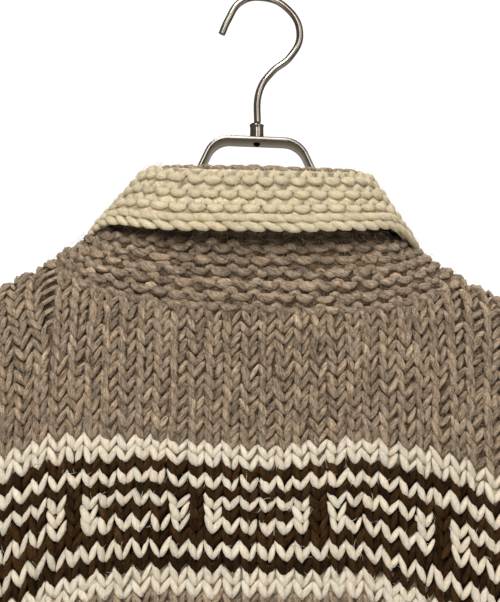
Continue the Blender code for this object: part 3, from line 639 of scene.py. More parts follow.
def body_cells(side, columns, lattice):
    """The stitches inside a panel's outline, with the yarn of each."""
    cells, kinds = [], []
    for r in range(lattice.shape[0] - 1):
        for c in range(lattice.shape[1] - 1):
            middle_row = lattice[r : r + 2, c : c + 2].mean()
            across = (columns[c] + 0.5) * COLUMN * -side
            if middle_row < TOP_ROW:
                continue
            down = float(np.interp(middle_row, np.arange(len(body_levels)), body_levels))
            if abs(across) < NECK_HALF and down < neck_drop(across, side) - NECK_OVERLAP:
                continue
            if abs(across) > edge_across(down) + EDGE_OVERLAP:
                continue
            cells.append((r, c))
            kinds.append(band_colour(r - ROWS_UP, columns[c]))
    return cells, kinds


def wall_on_form(name, form, rows, columns, colour, wall, closed=False):
    """A closed sheet that follows a form. wall holds its thickness and how far it lies
    under the form. colour is one yarn's colour, or a colour for each grid point."""
    thickness, inset = wall
    outer, _ = on_form(form, rows, columns, np.full(rows.shape, -inset))
    inner, _ = on_form(form, rows, columns, np.full(rows.shape, -inset - thickness))
    high, wide = rows.shape
    if closed:
        outer, inner, wide = outer[:, :-1], inner[:, :-1], wide - 1
    index = np.arange(high * wide).reshape(high, wide)
    if closed:
        index = np.concatenate([index, index[:, :1]], axis=1)
    a, b, c, d = index[:-1, :-1], index[:-1, 1:], index[1:, 1:], index[1:, :-1]
    face = np.stack([a, b, c, d], axis=-1).reshape(-1, 4)
    count = high * wide
    quads = [face, face[:, ::-1] + count]
    rims = [index[0, ::-1], index[-1, :]]
    if not closed:
        rims += [index[:, 0], index[::-1, -1]]
    for rim in rims:
        quads.append(np.stack([rim[:-1], rim[1:], rim[1:] + count, rim[:-1] + count], axis=-1)[:, ::-1])
    corners = np.concatenate(quads)
    points = np.concatenate([outer.reshape(-1, 3), inner.reshape(-1, 3)])
    edge_a = points[corners[0, 1]] - points[corners[0, 0]]
    edge_b = points[corners[0, 2]] - points[corners[0, 1]]
    _, normal = on_form(form, rows[:1, :1], columns[:1, :1])
    if np.dot(np.cross(edge_a, edge_b), normal[0, 0]) < 0:
        corners = corners[:, ::-1]
    begins = np.arange(len(corners)) * 4
    tint = colour[:, :wide] if np.ndim(colour) > 1 else np.broadcast_to(colour, (high, wide, 4))
    tints = np.concatenate([tint.reshape(-1, 4)] * 2)
    place = np.zeros((high, wide, 3))
    place[..., 0] = run_along(outer[high // 2]) * 1000
    place[..., 1] = run_along(outer[:, wide // 2])[:, None] * 1000
    place = place.reshape(-1, 3)
    return mesh_object(name, points, corners, begins, tints, np.concatenate([place, place]))


def plain_sheet(name, form, rows, columns, colour, wall, closed=False):
    """A ground sheet in one colour, on whole rows and columns of a form."""
    grid = np.meshgrid(rows, columns, indexing="ij")
    return dress(wall_on_form(name, form, *grid, colour, wall, closed), ground_wool)


def add_purl_relief(look):
    """Rows of purl bumps on the plain inner faces, with painted light: paler on the bumps and darker between
    them.
    """
    tree = look.node_tree
    shader = tree.nodes["Principled BSDF"]
    plain, fine = (shader.inputs[name].links[0].from_socket for name in ("Base Color", "Normal"))
    place = add_node(tree, "Attribute", {}, attribute_name="yarn_place")
    stitch = add_node(tree, "Mapping", {"Vector": place.outputs["Vector"], "Scale": PURL_SCALE})
    cells = add_node(tree, "TexVoronoi", {
        "Vector": stitch.outputs["Vector"], "Scale": 1.0, "Smoothness": 0.35, "Randomness": 0.35,
    }, voronoi_dimensions="2D", feature="SMOOTH_F1")
    bump = cells.outputs["Distance"]
    # Painted light and shade: the colour is raised on the bumps and darkened between them
    tone = add_node(tree, "MapRange", {
        "Value": bump, "From Min": 0.1, "From Max": 0.6, "To Min": 1.45, "To Max": 0.45,
    })
    tinted = add_node(tree, "VectorMath", {0: plain, "Scale": tone.outputs["Result"]}, operation="SCALE")
    bumps = add_node(tree, "Bump", {"Distance": 0.003, "Height": bump, "Normal": fine}, invert=True)
    set_inputs(shader, {"Base Color": tinted.outputs["Vector"], "Normal": bumps.outputs["Normal"]})


PURL_SCALE = (1 / 9.9, 1 / 6.3, 1.0)
ground_wool = wool("ground_wool")
add_purl_relief(ground_wool)
# Painted shade: the ground between the stitches is darker than each yarn, for the shadow there
UNDER_IN_SHADE = {"T": (0.185, 0.129, 0.080), "C": (0.530, 0.445, 0.310), "E": (0.570, 0.485, 0.335),
         "D": (0.018, 0.008, 0.003)}
# Thickness of the ground sheets and how far they lie under the form
GROUND_WALL = (0.0034, 0.0014)
RIB_WALL = (0.0034, 0.0012)


def ground_colour_in_shade(kind):
    """The ground's colour under stitches of one yarn, darkened as painted shade."""
    return np.array(UNDER_IN_SHADE[kind] + (YARNS[kind][1],))


# ---- The back ------------------------------------------------------------------------
# One panel, knitted straight, with the patterned band under the yoke. The stitches that
# show largest are spun finest.

GAP_COLUMN = -12
GAP_RUNGS = range(ROWS_UP - 14, ROWS_UP - 8)
GAP_WIDTH = 0.0085
GAP_HEIGHTS = (-0.205, -0.160)
RUNG_ENDS = (-0.25, 1.25)
RUNG_HEIGHTS_MM = (-2.2, -0.9, -0.6, -0.5, -0.6, -0.9, -2.2)
RUNG_RADIUS = 0.0014
# How far the columns fan out at the shoulders, and between which distances out
FAN_LEFT = (0.008, 0.112, 0.155)
FAN_RIGHT = (0.009, 0.100, 0.150)
FAN_HEIGHTS = (-0.238, -0.162)
FAN_ENDS = (0.165, 0.228)
FINE_ROWS = range(ROWS_UP - 14, ROWS_UP + 16)
FINE_COLUMNS = 16
LOWER_ROW = ROWS_UP + 40
FUZZ_FIBRES = 4600

rng = np.random.default_rng(11)
back_columns = np.arange(-27, 28)
gap = int(np.flatnonzero(back_columns == GAP_COLUMN)[0])
back_columns = np.insert(back_columns, gap, GAP_COLUMN)
back_lattice = body_lattice(body_forms["back"], 1, back_columns)
flat_across = np.broadcast_to(back_columns * -COLUMN, back_lattice.shape)
places, _ = on_form(body_forms["back"], back_lattice, column_of(flat_across))
fan_left = FAN_LEFT[0] * eased(flat_across, *FAN_LEFT[1:])
fan_right = FAN_RIGHT[0] * eased(-flat_across, *FAN_RIGHT[1:])
fan = np.where(flat_across > 0, fan_left, -fan_right) * eased(places[..., 2], *FAN_HEIGHTS)
pulled = GAP_WIDTH * eased(places[..., 2], *GAP_HEIGHTS) * (np.arange(len(back_columns)) <= gap)
leaning = (fan + pulled) * (1 - eased(np.abs(flat_across), *FAN_ENDS))
back_lines = column_of(flat_across + leaning + wander(back_lattice.shape, 0.0007, rng))
back_lattice = back_lattice + wander(back_lattice.shape, 0.14, rng)
cells, kinds = body_cells(1, back_columns, back_lattice)
stitched = [k for k, (r, c) in enumerate(cells) if c != gap]
cells, kinds = [cells[k] for k in stitched], [kinds[k] for k in stitched]
near = [r in FINE_ROWS and abs(back_columns[c] + 0.5) < FINE_COLUMNS for r, c in cells]
groups = {
    "back_yoke_stitches": (LEG_FINE, 7, True, lambda r: True),
    "back_side_stitches": (LEG_PLAIN, 3, False, lambda r: r < LOWER_ROW),
    "back_lower_stitches": (LEG_PLAIN, 3, False, lambda r: r >= LOWER_ROW),
}
for name, (leg, sides, is_near, wanted) in groups.items():
    chosen = [k for k, flag in enumerate(near) if flag == is_near and wanted(cells[k][0])]
    piece = lay_stitches(name, body_forms["back"], back_lattice, back_lines,
                         [cells[k] for k in chosen], [kinds[k] for k in chosen], leg, sides, rng)
    dress(piece, knit_wool)

# By the left shoulder two columns have pulled apart: only rungs of yarn cross the gap
share = np.linspace(*RUNG_ENDS, len(RUNG_HEIGHTS_MM))
rung_rows, rung_lines = (between(lines, GAP_RUNGS, gap, share) for lines in (back_lattice, back_lines))
rung_heights = np.broadcast_to(RUNG_HEIGHTS_MM, rung_rows.shape) / 1000
centres, normals = on_form(body_forms["back"], rung_rows, rung_lines, rung_heights)
rungs = closed_grains("back_rungs", centres, normals, np.full((len(centres), 5), RUNG_RADIUS),
                      yarn_colours("T" * len(centres), rng), 7, rng)
dress(rungs, knit_wool)

# Stray fibres over the yoke and the band
furry = np.array(near) * np.where(np.array(kinds) == "T", 1.0, 0.25)
picked = rng.choice(len(cells), FUZZ_FIBRES, p=furry / furry.sum())
row, column = (np.array([cells[k][i] for k in picked]) for i in (0, 1))
drift_row, drift_column = rng.uniform(0, 1, len(picked)), rng.uniform(0, 1, len(picked))
fuzz_rows = back_lattice[row, column] * (1 - drift_row) + back_lattice[row + 1, column] * drift_row
fuzz_lines = back_lines[row, column] * (1 - drift_column) + back_lines[row, column + 1] * drift_column
fuzz = stray_fibres("back_fuzz", body_forms["back"], fuzz_rows, fuzz_lines,
                    yarn_colours([kinds[k] for k in picked], rng), 1.8, 4.0, rng)
dress(fuzz, knit_wool)

# Painted shade on the ground where the stitches gape: across, row, how wide and high
# the place is, and how dark
gap_across = (flat_across + leaning)[GAP_RUNGS, gap : gap + 2].mean()
GAPE_PAINTED_SHADE = ((gap_across, rung_rows.mean(), 0.007, rung_rows.std() * 1.6, 0.92),
           (-0.118, rung_rows.mean() + 5, 0.016, rung_rows.std() * 2.4, 0.60))

# How far down the ground's rows, which start along the neck, have become level
LEVEL_FROM = {"back": 0.190, "front": 0.380}


def ground_colours(form_rows, acrosses, lattice, columns, side):
    """The ground takes the yarn of the stitches over it, in shadow. Floats of the dark
    yarn cross it behind the pattern."""
    tints = np.empty(form_rows.shape + (4,))
    for c in range(form_rows.shape[1]):
        for r in range(form_rows.shape[0]):
            place = acrosses[r, c] / (COLUMN * -side)
            column = int(np.clip(math.floor(place), columns[0], columns[-1] - 1))
            line = lattice[:, column - columns[0]]
            row = int(np.searchsorted(line, form_rows[r, c])) - 1 - ROWS_UP
            tints[r, c] = ground_colour_in_shade("D" if row in DARK_FLOATS else band_colour(row, column))
    return tints


def body_ground(name, side, flat_columns, lattice, columns):
    """A panel's ground sheet, coloured by the chart, with painted shade where the back's stitches gape."""
    form = body_forms["back" if side > 0 else "front"]
    levels = np.concatenate([ARCH_HEIGHT * (1 - np.cos(np.linspace(0, math.pi / 2, 11))),
                             np.linspace(ARCH_HEIGHT, RIB_TOP, 82)[1:]])
    meet = LEVEL_FROM["back" if side > 0 else "front"]
    acrosses = np.array([flat_columns(level) for level in levels])
    tops = neck_drop(acrosses, side)
    sloped = tops + levels[:, None] * (meet - tops) / meet
    downs = np.where(levels[:, None] >= meet, levels[:, None], sloped)
    rows = row_of(downs)
    tints = ground_colours(rows, acrosses, lattice, columns, side)
    # Painted shade: the ground is darkened where the stitches gape on the back
    for across, row, wide, high, depth in GAPE_PAINTED_SHADE if side > 0 else ():
        near = np.exp(-((acrosses - across) / wide) ** 2 - ((rows - row) / high) ** 2)
        tints[..., :3] *= 1 - depth * near[..., None]
    sheet = wall_on_form(name, form, rows, column_of(acrosses), tints, GROUND_WALL)
    return dress(sheet, ground_wool)


back_cloth = body_ground("back_cloth", 1, lambda level: np.linspace(-1, 1, 61) * edge_across(level),
                         back_lattice, back_columns)
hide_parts("back")

# ---- The fronts ----------------------------------------------------------------------
# Two panels like the back, narrower by the front bands, with a long slanting neck edge.
# The patterned band runs on round the body.

FRONT_FIRST_COLUMN = 2
FRONT_LAST_COLUMN = 27

for name, hand in (("left", 1), ("right", -1)):
    columns = np.sort(hand * np.arange(FRONT_FIRST_COLUMN, FRONT_LAST_COLUMN + 1))
    lattice = body_lattice(body_forms["front"], -1, columns)
    lines = np.broadcast_to(column_of(columns * COLUMN), lattice.shape)
    cells, kinds = body_cells(-1, columns, lattice)
    stitches = lay_stitches(f"front_{name}_stitches", body_forms["front"], lattice, lines,
                            cells, kinds, LEG_PLAIN, 3, rng)
    dress(stitches, knit_wool)
    cloth = body_ground(
        f"front_{name}_cloth", -1,
        lambda level: np.sort(hand * np.linspace(BAND_HALF, edge_across(level), 31)),
        lattice, columns)
    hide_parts(f"front_{name}")

# ---- The shawl collar ----------------------------------------------------------------
# Garter stitch, picked up along the neck and knitted outwards: a stand in the ground
# yarn that rolls over at its top, and a fall in cream, cast off in a rope-like edge.

COLLAR_LINES = {
    "station": (0.0, 2.0, 3.0, 4.0, 4.5, 5.0, 6.0, 7.0, 8.0, 9.0, 10.0),
    "knee": ((0.000, 0.0390, -0.145), (0.053, 0.0390, -0.143), (0.0785, 0.0300, -0.143),
             (0.0875, 0.0000, -0.141), (0.087, -0.015, -0.147), (0.086, -0.031, -0.160),
             (0.070, -0.048, -0.206), (0.057, -0.0505, -0.235), (0.042, -0.0515, -0.264),
             (0.028, -0.0515, -0.294), (0.0145, -0.0505, -0.321)),
    "crest": ((0.000, 0.0340, -0.111), (0.040, 0.0300, -0.111), (0.053, 0.0180, -0.111),
              (0.059, 0.0000, -0.112), (0.061, -0.013, -0.123), (0.062, -0.027, -0.141),
              (0.054, -0.049, -0.194), (0.044, -0.052, -0.226), (0.031, -0.053, -0.257),
              (0.021, -0.053, -0.289), (0.010, -0.053, -0.315)),
    "edge": ((0.000, 0.0520, -0.1380), (0.055, 0.0470, -0.1370), (0.0800, 0.0280, -0.1350),
             (0.0955, 0.0010, -0.1435), (0.102, -0.022, -0.1530), (0.106, -0.043, -0.1780),
             (0.104, -0.061, -0.2250), (0.093, -0.064, -0.2570), (0.077, -0.066, -0.2860),
             (0.059, -0.066, -0.3130), (0.038, -0.065, -0.3380)),
}
# How far each line leans to the wearer's left, on the left and on the right side; and
# how far it rises between two distances out on the right side
LINE_LEANS = {"knee": (0.0060, 0.0060), "crest": (0.0, 0.0), "edge": (0.0028, 0.0014)}
LINE_RISES = {"knee": ((0.060, 0.088, -0.0030),), "crest": (),
              "edge": ((0.015, 0.050, 0.0017), (0.070, 0.094, -0.0036))}
COLLAR_SETTLES = 0.0010
SIDE_STATION = 4.0
END_STATION = 10.0
COLUMNS_PER_STATION = 20
COLLAR_COLUMNS = int(2 * END_STATION * COLUMNS_PER_STATION)
ROLL_RADIUS = 0.0046
COLLAR_WALL = 0.0055
STAND_STEPS = 40
ROLL_STEPS = 16
FALL_STEPS = 40
ROLL_TOP = STAND_STEPS + ROLL_STEPS / 2
STAND_SEEN = 0.535
STAND_RIDGES = 6


def collar_line(name, station):
    """Points of one of the collar's three lines, at many stations."""
    marks = np.array(COLLAR_LINES["station"])
    places = np.array(COLLAR_LINES[name])
    marks = np.concatenate([[-marks[1]], marks, [2 * marks[-1] - marks[-2]]])
    places = np.concatenate([[places[1] * (-1, 1, 1)], places, [2 * places[-1] - places[-2]]])
    at = np.minimum(np.abs(station), END_STATION)
    i = np.clip(np.searchsorted(marks, at + 1e-9, side="right") - 1, 1, len(marks) - 3)
    t0, t1, t2, t3 = (marks[i + k][:, None] for k in (-1, 0, 1, 2))
    p0, p1, p2, p3 = (places[i + k] for k in (-1, 0, 1, 2))
    share = (at[:, None] - t1) / (t2 - t1)
    leaving = (p2 - p0) * (t2 - t1) / (t2 - t0)
    arriving = (p3 - p1) * (t2 - t1) / (t3 - t1)
    line = (p1 * (2 * share**3 - 3 * share**2 + 1) + leaving * (share**3 - 2 * share**2 + share)
            + p2 * (3 * share**2 - 2 * share**3) + arriving * (share**3 - share**2))
    x = np.copysign(line[:, 0], station)
    left, right = LINE_LEANS[name]
    x = x + (left + (right - left) * eased(-x, 0.0, 0.050)) * (1 - eased(at, 5, 7))
    line[:, 0] = x
    line[:, 2] += HANG_TILT * (np.minimum(x, 0.0) + np.maximum(x - 0.045, 0.0)) - COLLAR_SETTLES
    for near_x, far_x, rise in LINE_RISES[name]:
        line[:, 2] += rise * eased(-x, near_x, far_x)
    return line


def across_out(vectors, *squares):
    """Unit vectors with the parts along some other unit vectors taken out."""
    for other in squares:
        vectors = vectors - other * np.sum(vectors * other, axis=-1, keepdims=True)
    return unit(vectors)


collar_stations = np.linspace(END_STATION, -END_STATION, COLLAR_COLUMNS + 1)
knee, crest, edge = (collar_line(name, collar_stations) for name in ("knee", "crest", "edge"))
step_ahead, step_back = (
    collar_line("crest", np.clip(collar_stations + step, -END_STATION, END_STATION)) for step in (-0.1, 0.1))
ahead = unit(step_ahead - step_back)
roll_up = across_out(crest - knee, ahead)
roll_out = across_out(edge - crest, roll_up, ahead)
behind = np.abs(collar_stations) <= SIDE_STATION
to_front = (np.abs(collar_stations) - SIDE_STATION) / (END_STATION - SIDE_STATION)
neck_across = np.where(behind, NECK_HALF * np.abs(collar_stations) / SIDE_STATION,
                       NECK_HALF - (NECK_HALF - BAND_HALF) * to_front)
neck_across = np.copysign(neck_across, collar_stations)
seams = []
for side, name in ((1, "back"), (-1, "front")):
    drops = np.array([neck_drop(a, side) for a in neck_across])
    at_neck, _ = on_form(body_forms[name], row_of(drops), column_of(neck_across),
                         np.full(len(drops), -WALL / 2))
    seams.append(at_neck)
neck_seam = np.where(behind[:, None], seams[0], seams[1])

collar_rows = []
for share in np.linspace(0, 1, STAND_STEPS + 1):
    collar_rows.append(neck_seam * (1 - share) ** 2 + knee * 2 * share * (1 - share) + crest * share**2)
for angle in np.linspace(0, math.pi, ROLL_STEPS + 1)[1:]:
    rise = roll_out * (1 - math.cos(angle)) + roll_up * math.sin(angle)
    collar_rows.append(crest + rise * ROLL_RADIUS)
roll_end = crest + roll_out * 2 * ROLL_RADIUS
for share in np.linspace(0, 1, FALL_STEPS + 1)[1:]:
    collar_rows.append(roll_end * (1 - share) + edge * share)
collar_form = make_form(np.array(collar_rows), (0, 0, 1))
stand_form = {"points": collar_form["points"], "normals": -collar_form["normals"], "round": False}

collar_gaps = np.linalg.norm(np.diff(collar_form["points"], axis=0), axis=-1)
from_edge = np.concatenate([np.cumsum(collar_gaps[::-1], axis=0)[::-1], np.zeros((1, COLLAR_COLUMNS + 1))])


def fall_line(distance):
    """The row of the collar's form that lies at a distance from its cast-off edge. The
    distance is a number, or one for each column."""
    rows = np.arange(len(from_edge))[::-1]
    distances = np.broadcast_to(distance, from_edge.shape[1])
    return np.array([np.interp(d, column[::-1], rows) for d, column in zip(distances, from_edge.T)])


# The strands of one garter stitch, in millimetres: along the ridge, up across it, height
# over the cloth and half width. An arch stands between two bars that lie in front of it.
GARTER_ROW = (
    {
        "along": (1.9, 2.3, 3.3, 4.8, 6.3, 7.3, 7.7),
        "up": (-2.4, -0.2, 1.9, 2.7, 1.9, -0.2, -2.4),
        "height": (-0.7, 0.4, 1.0, 1.2, 1.0, 0.4, -0.7),
        "half_width": (1.8, 2.05, 2.3, 2.05, 1.8),
        "period": 9.6,
    },
    {
        "along": (-4.6, -3.6, -1.9, 0.0, 1.9, 3.6, 4.6),
        "up": (0.8, -0.2, -1.1, -1.5, -1.2, -0.5, 0.3),
        "height": (-0.5, 0.7, 1.25, 1.4, 1.25, 0.7, -0.5),
        "half_width": (2.0, 2.5, 2.65, 2.5, 2.0),
        "period": 9.6,
    },
)
STAND_ROW = (
    {
        "along": (2.0, 2.5, 3.8, 5.5, 7.2, 8.5, 9.0),
        "up": (-2.4, -0.5, 1.2, 1.7, 1.2, -0.5, -2.4),
        "height": (-1.4, -0.2, 0.4, 0.6, 0.4, -0.2, -1.4),
        "half_width": (1.6, 2.0, 2.3, 2.0, 1.6),
        "period": 11.0,
    },
    {
        "along": (-4.9, -4.0, -2.1, 0.0, 2.1, 4.0, 4.9),
        "up": (0.8, -0.2, -0.9, -1.2, -1.0, -0.4, 0.5),
        "height": (-1.3, 0.4, 1.1, 1.3, 1.1, 0.4, -1.3),
        "half_width": (1.9, 2.5, 2.7, 2.4, 1.8),
        "period": 11.0,
    },
)
PURL_BUMP = {
    "along": (-0.8, 1.5, 4.8, 8.0, 10.3),
    "up": (-1.2, 0.4, 1.2, 0.2, -1.2),
    "height": (-1.3, 0.4, 1.0, 0.4, -1.3),
    "half_width": (1.8, 2.5, 1.8),
    "period": 9.6,
}
CAST_OFF_CHAIN = {
    "along": (-2.5, 0.0, 3.5, 8.0, 11.5, 14.0),
    "up": (0.9, 0.8, 0.4, -0.1, -0.7, -1.2),
    "height": (-0.6, 0.9, 1.3, 1.3, 0.8, -0.6),
    "half_width": (1.7, 2.4, 2.4, 1.6),
    "period": 9.5,
}
CAST_OFF_ROPE = {
    "along": (-2.6, -0.2, 3.2, 7.2, 10.8, 13.0),
    "up": (2.6, 2.1, 0.9, -0.5, -1.5, -1.9),
    "height": (-0.8, 0.5, 1.2, 1.2, 0.4, -1.0),
    "half_width": (1.5, 2.2, 2.4, 1.6),
    "period": 9.5,
}
# How much the stitches of a ridge differ, as shares or in millimetres
RIDGE_UNEVEN = {"tall": 0.12, "up": 0.18, "height": 0.15, "thick": 0.05}


def lay_ridge(form, line, first, last, stitch, up_sign, rng,
              stretch=1.0, uneven=0.07, lift=0.0, rough=1.0):
    """Strands along one line of a form, between two of its columns. line holds the row
    at each column; up_sign is the way up the form's rows that the stitch faces."""
    columns = np.arange(int(first), int(last) + 1)
    places, _ = on_form(form, line[columns], columns.astype(float), np.full(len(columns), 0.002))
    run = run_along(places) * 1000
    period = stitch["period"] * stretch
    count = max(int(round(run[-1] / period)), 1)
    gaps = 1 + uneven * rng.standard_normal(count)
    starts = np.concatenate(([0], np.cumsum(gaps)))[:-1] * run[-1] / gaps.sum()
    fit = gaps * run[-1] / gaps.sum() / stitch["period"]
    along = starts[:, None] + np.array(stitch["along"])[None] * fit[:, None]
    column = np.interp(along, run, columns)
    row = np.interp(column, columns, line[columns])
    r = np.clip(row.astype(int), 0, form["points"].shape[0] - 2)
    c = np.clip(column.astype(int), 0, form["points"].shape[1] - 2)
    spacing = np.linalg.norm(form["points"][r + 1, c] - form["points"][r, c], axis=-1) * 1000
    up = np.array(stitch["up"])[None] * (1 + RIDGE_UNEVEN["tall"] * rough * rng.standard_normal((count, 1)))
    up = up + rng.normal(0, RIDGE_UNEVEN["up"] * rough, (count, 1))
    row = row + up_sign * up / np.maximum(spacing, 0.3)
    raised = rng.normal(0, RIDGE_UNEVEN["height"] * rough, (count, 1))
    height = np.array(stitch["height"])[None] + raised + lift
    thick = 1 + RIDGE_UNEVEN["thick"] * rough * rng.standard_normal((count, 1))
    width = np.array(stitch["half_width"])[None] * thick
    return row, column, height / 1000, width / 1000


def lay_garter(form, line, first, last, strands, up_sign, rng, **fit):
    """A ridge of garter stitch: the same stitches, laid once for each of their strands."""
    seed = rng.integers(1 << 30)
    laid = [lay_ridge(form, line, first, last, strand, up_sign, np.random.default_rng(seed), **fit)
            for strand in strands]
    return tuple(np.concatenate(values) for values in zip(*laid))


def raise_ridges(name, form, ridges, kind, sides, rng):
    """One mesh from the strands of several ridges."""
    row, column, height, width = (np.concatenate([ridge[k] for ridge in ridges]) for k in range(4))
    centres, normals = on_form(form, row, column, height)
    return closed_grains(name, centres, normals, width, yarn_colours([kind] * len(row), rng), sides, rng)


def column_at(station):
    """The column of the collar's form at a station."""
    return (END_STATION - station) * COLUMNS_PER_STATION


def lay_round(line, stitch, rng, sunk, **fit):
    """A ridge all round the collar, sunk so many millimetres into its outer face."""
    return lay_ridge(collar_form, line, 0, COLLAR_COLUMNS, stitch, -1, rng,
                     lift=OUTER_FACE * 1000 - sunk, **fit)


def level_line(row):
    """One row of the collar's form, at every column."""
    return np.full(COLLAR_COLUMNS + 1, row)


FALL_RIDGES = 8
FALL_FIRST = 12.2
FALL_PITCH = 8.2
FALL_WIDEST = 1.25
FALL_MARGIN = 0.004
CHAIN_FROM_EDGE = 0.0058
ROPE_FROM_EDGE = 0.0011
SHORTEST_RIDGE = 6
OUTER_FACE = COLLAR_WALL / 2 - 0.0009
COLLAR_GROUND = (0.0038, -0.0019)
# Painted shade: the stand's ground, under the fall, is darkened to this share of its colour
STAND_PAINTED_SHADE = (0.6, 0.6, 0.6, 1.0)
STAND_ENDS = 5.6
FUZZ_ENDS = 4.6

rng = np.random.default_rng(23)
fall_ridges = []
fall_widths = np.array([np.interp(ROLL_TOP, np.arange(len(column)), column) for column in from_edge.T])
fall_spread = np.clip(fall_widths / fall_widths.min(), 1.0, FALL_WIDEST)
for k in range(FALL_RIDGES):
    distance = (FALL_FIRST + k * FALL_PITCH) / 1000 * fall_spread
    line = fall_line(distance)
    inside = np.flatnonzero(distance < fall_widths - FALL_MARGIN)
    breaks = np.flatnonzero(np.diff(inside) > 1)
    for part in np.split(inside, breaks + 1):
        if len(part) > SHORTEST_RIDGE:
            fall_ridges.append(lay_garter(collar_form, line, part[0], part[-1], GARTER_ROW, -1, rng,
                                          lift=OUTER_FACE * 1000 - 0.4))
# The fall's stitches and cast-off edge are in E, the cream darkened as painted shade
border_stitches = raise_ridges("border_stitches", collar_form, fall_ridges, "E", 7, rng)
chain = lay_round(fall_line(CHAIN_FROM_EDGE), CAST_OFF_CHAIN, rng, 0.3, uneven=0.10)
rope = lay_round(fall_line(ROPE_FROM_EDGE), CAST_OFF_ROPE, rng, 0.9, uneven=0.05)
cast_off = raise_ridges("cast_off_edge", collar_form, [chain, rope], "E", 8, rng)
for piece in (border_stitches, cast_off):
    dress(piece, knit_wool)

stand_ridges = []
for k in range(STAND_RIDGES):
    line = level_line(STAND_STEPS * STAND_SEEN * (k + 0.5) / STAND_RIDGES)
    stand_ridges.append(lay_garter(stand_form, line, column_at(STAND_ENDS), column_at(-STAND_ENDS), STAND_ROW,
                                   1, rng, uneven=0.14, lift=OUTER_FACE * 1000 - 0.5, rough=2.2))
stand_stitches = raise_ridges("stand_stitches", stand_form, stand_ridges, "T", 7, rng)
neck_ridges = []
for sunk, rows in ((0.2, np.arange(1.5, STAND_STEPS, 6.0)), (0.1, (STAND_STEPS + 1.5, ROLL_TOP - 2.5))):
    neck_ridges += [lay_round(level_line(row), PURL_BUMP, rng, sunk) for row in rows]
neck_stitches = raise_ridges("neck_stitches", collar_form, neck_ridges, "T", 4, rng)
top_ridge = lay_round(level_line(ROLL_TOP + 1.8), CAST_OFF_CHAIN, rng, 1.0, uneven=0.12)
top_stitches = raise_ridges("top_stitches", collar_form, [top_ridge], "T", 6, rng)
for piece in (stand_stitches, neck_stitches, top_stitches):
    dress(piece, knit_wool)


def collar_fuzz(name, form, rows, count, kind, low, high):
    """Stray fibres over part of the collar, between two rows and between the shoulders."""
    fuzz = stray_fibres(name, form, rng.uniform(*rows, count),
                        rng.uniform(column_at(FUZZ_ENDS), column_at(-FUZZ_ENDS), count),
                        yarn_colours(kind * count, rng), low, high, rng)
    return dress(fuzz, knit_wool)


stand_fuzz = collar_fuzz("stand_fuzz", stand_form, (0, 24), 1300, "T", 3.0, 6.6)
# The border's stray fibres are in E, the cream darkened as painted shade
border_fuzz = collar_fuzz("border_fuzz", collar_form, (ROLL_TOP + 3, 95), 1000, "E", 3.0, 5.8)

collar_columns = np.linspace(0, COLLAR_COLUMNS, 201)
stand_rows = np.linspace(0, ROLL_TOP + 2.5, 25)
fall_rows = np.linspace(ROLL_TOP + 3.1, len(collar_rows) - 4.5, 21)
# Painted shade: both sheets take the darkened ground colour, and the stand's is darkened again for the shade
# under the fall
collar_cloth = plain_sheet("collar_cloth", collar_form, stand_rows, collar_columns,
                           ground_colour_in_shade("T") * STAND_PAINTED_SHADE, COLLAR_GROUND)
border_cloth = plain_sheet("border_cloth", collar_form, fall_rows, collar_columns,
                           ground_colour_in_shade("E"), COLLAR_GROUND)
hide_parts("collar")
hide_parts("collar_border")

# ---- The ribbed welts ----------------------------------------------------------------
# One stocking stitch, one purl, in turn: the knit columns stand up as ribs, and small
# purl bumps lie in the furrows. The welts are knitted on below the back and fronts.

RIB_WIDTH = 0.0205
RIB_RISE = 0.0026
RIB_EASE_IN = 0.006
RIB_COLUMNS = 16
RIB_RINGS = 14
RIB_MIDDLE = 0.375
FURROW_MIDDLE = 0.875
RIB_SHARE = 0.235
FURROW_SHARE = 0.20
PURL = {
    "across": (-0.20, 0.12, 0.5, 0.88, 1.20),
    "up": (-0.10, 0.35, 0.62, 0.35, -0.10),
    "height": (-1.2, 0.2, 0.7, 0.2, -1.2),
    "half_width": (1.8, 2.3, 1.8),
}


def rib_profile(turns):
    """Height of the ribs, from 0 to 1, at so many repeats from the start."""
    phase = np.mod(turns, 1.0)
    return eased(phase, 0.0, 0.25) * (1 - eased(phase, 0.5, 0.75))


def lay_purls(name, form, form_rows, form_columns, cells, rng):
    """One purl bump across each cell."""
    row, column = np.array(cells).T
    u = np.array(PURL["across"])[None] + rng.normal(0, 0.04, (len(row), 1))
    v = np.array(PURL["up"])[None] + rng.normal(0, 0.05, (len(row), 1))
    low = form_rows[row + 1, column][:, None]
    high = form_rows[row, column][:, None]
    left = form_columns[row, column][:, None]
    right = form_columns[row, column + 1][:, None]
    height = np.array(PURL["height"])[None] + rng.normal(0, 0.15, (len(row), 1))
    centres, normals = on_form(form, low * (1 - v) + high * v, left * (1 - u) + right * u, height / 1000)
    width = np.array(PURL["half_width"])[None] * (1 + 0.06 * rng.standard_normal((len(row), 1))) / 1000
    return closed_grains(name, centres, normals, width, yarn_colours("T" * len(row), rng), 4, rng)


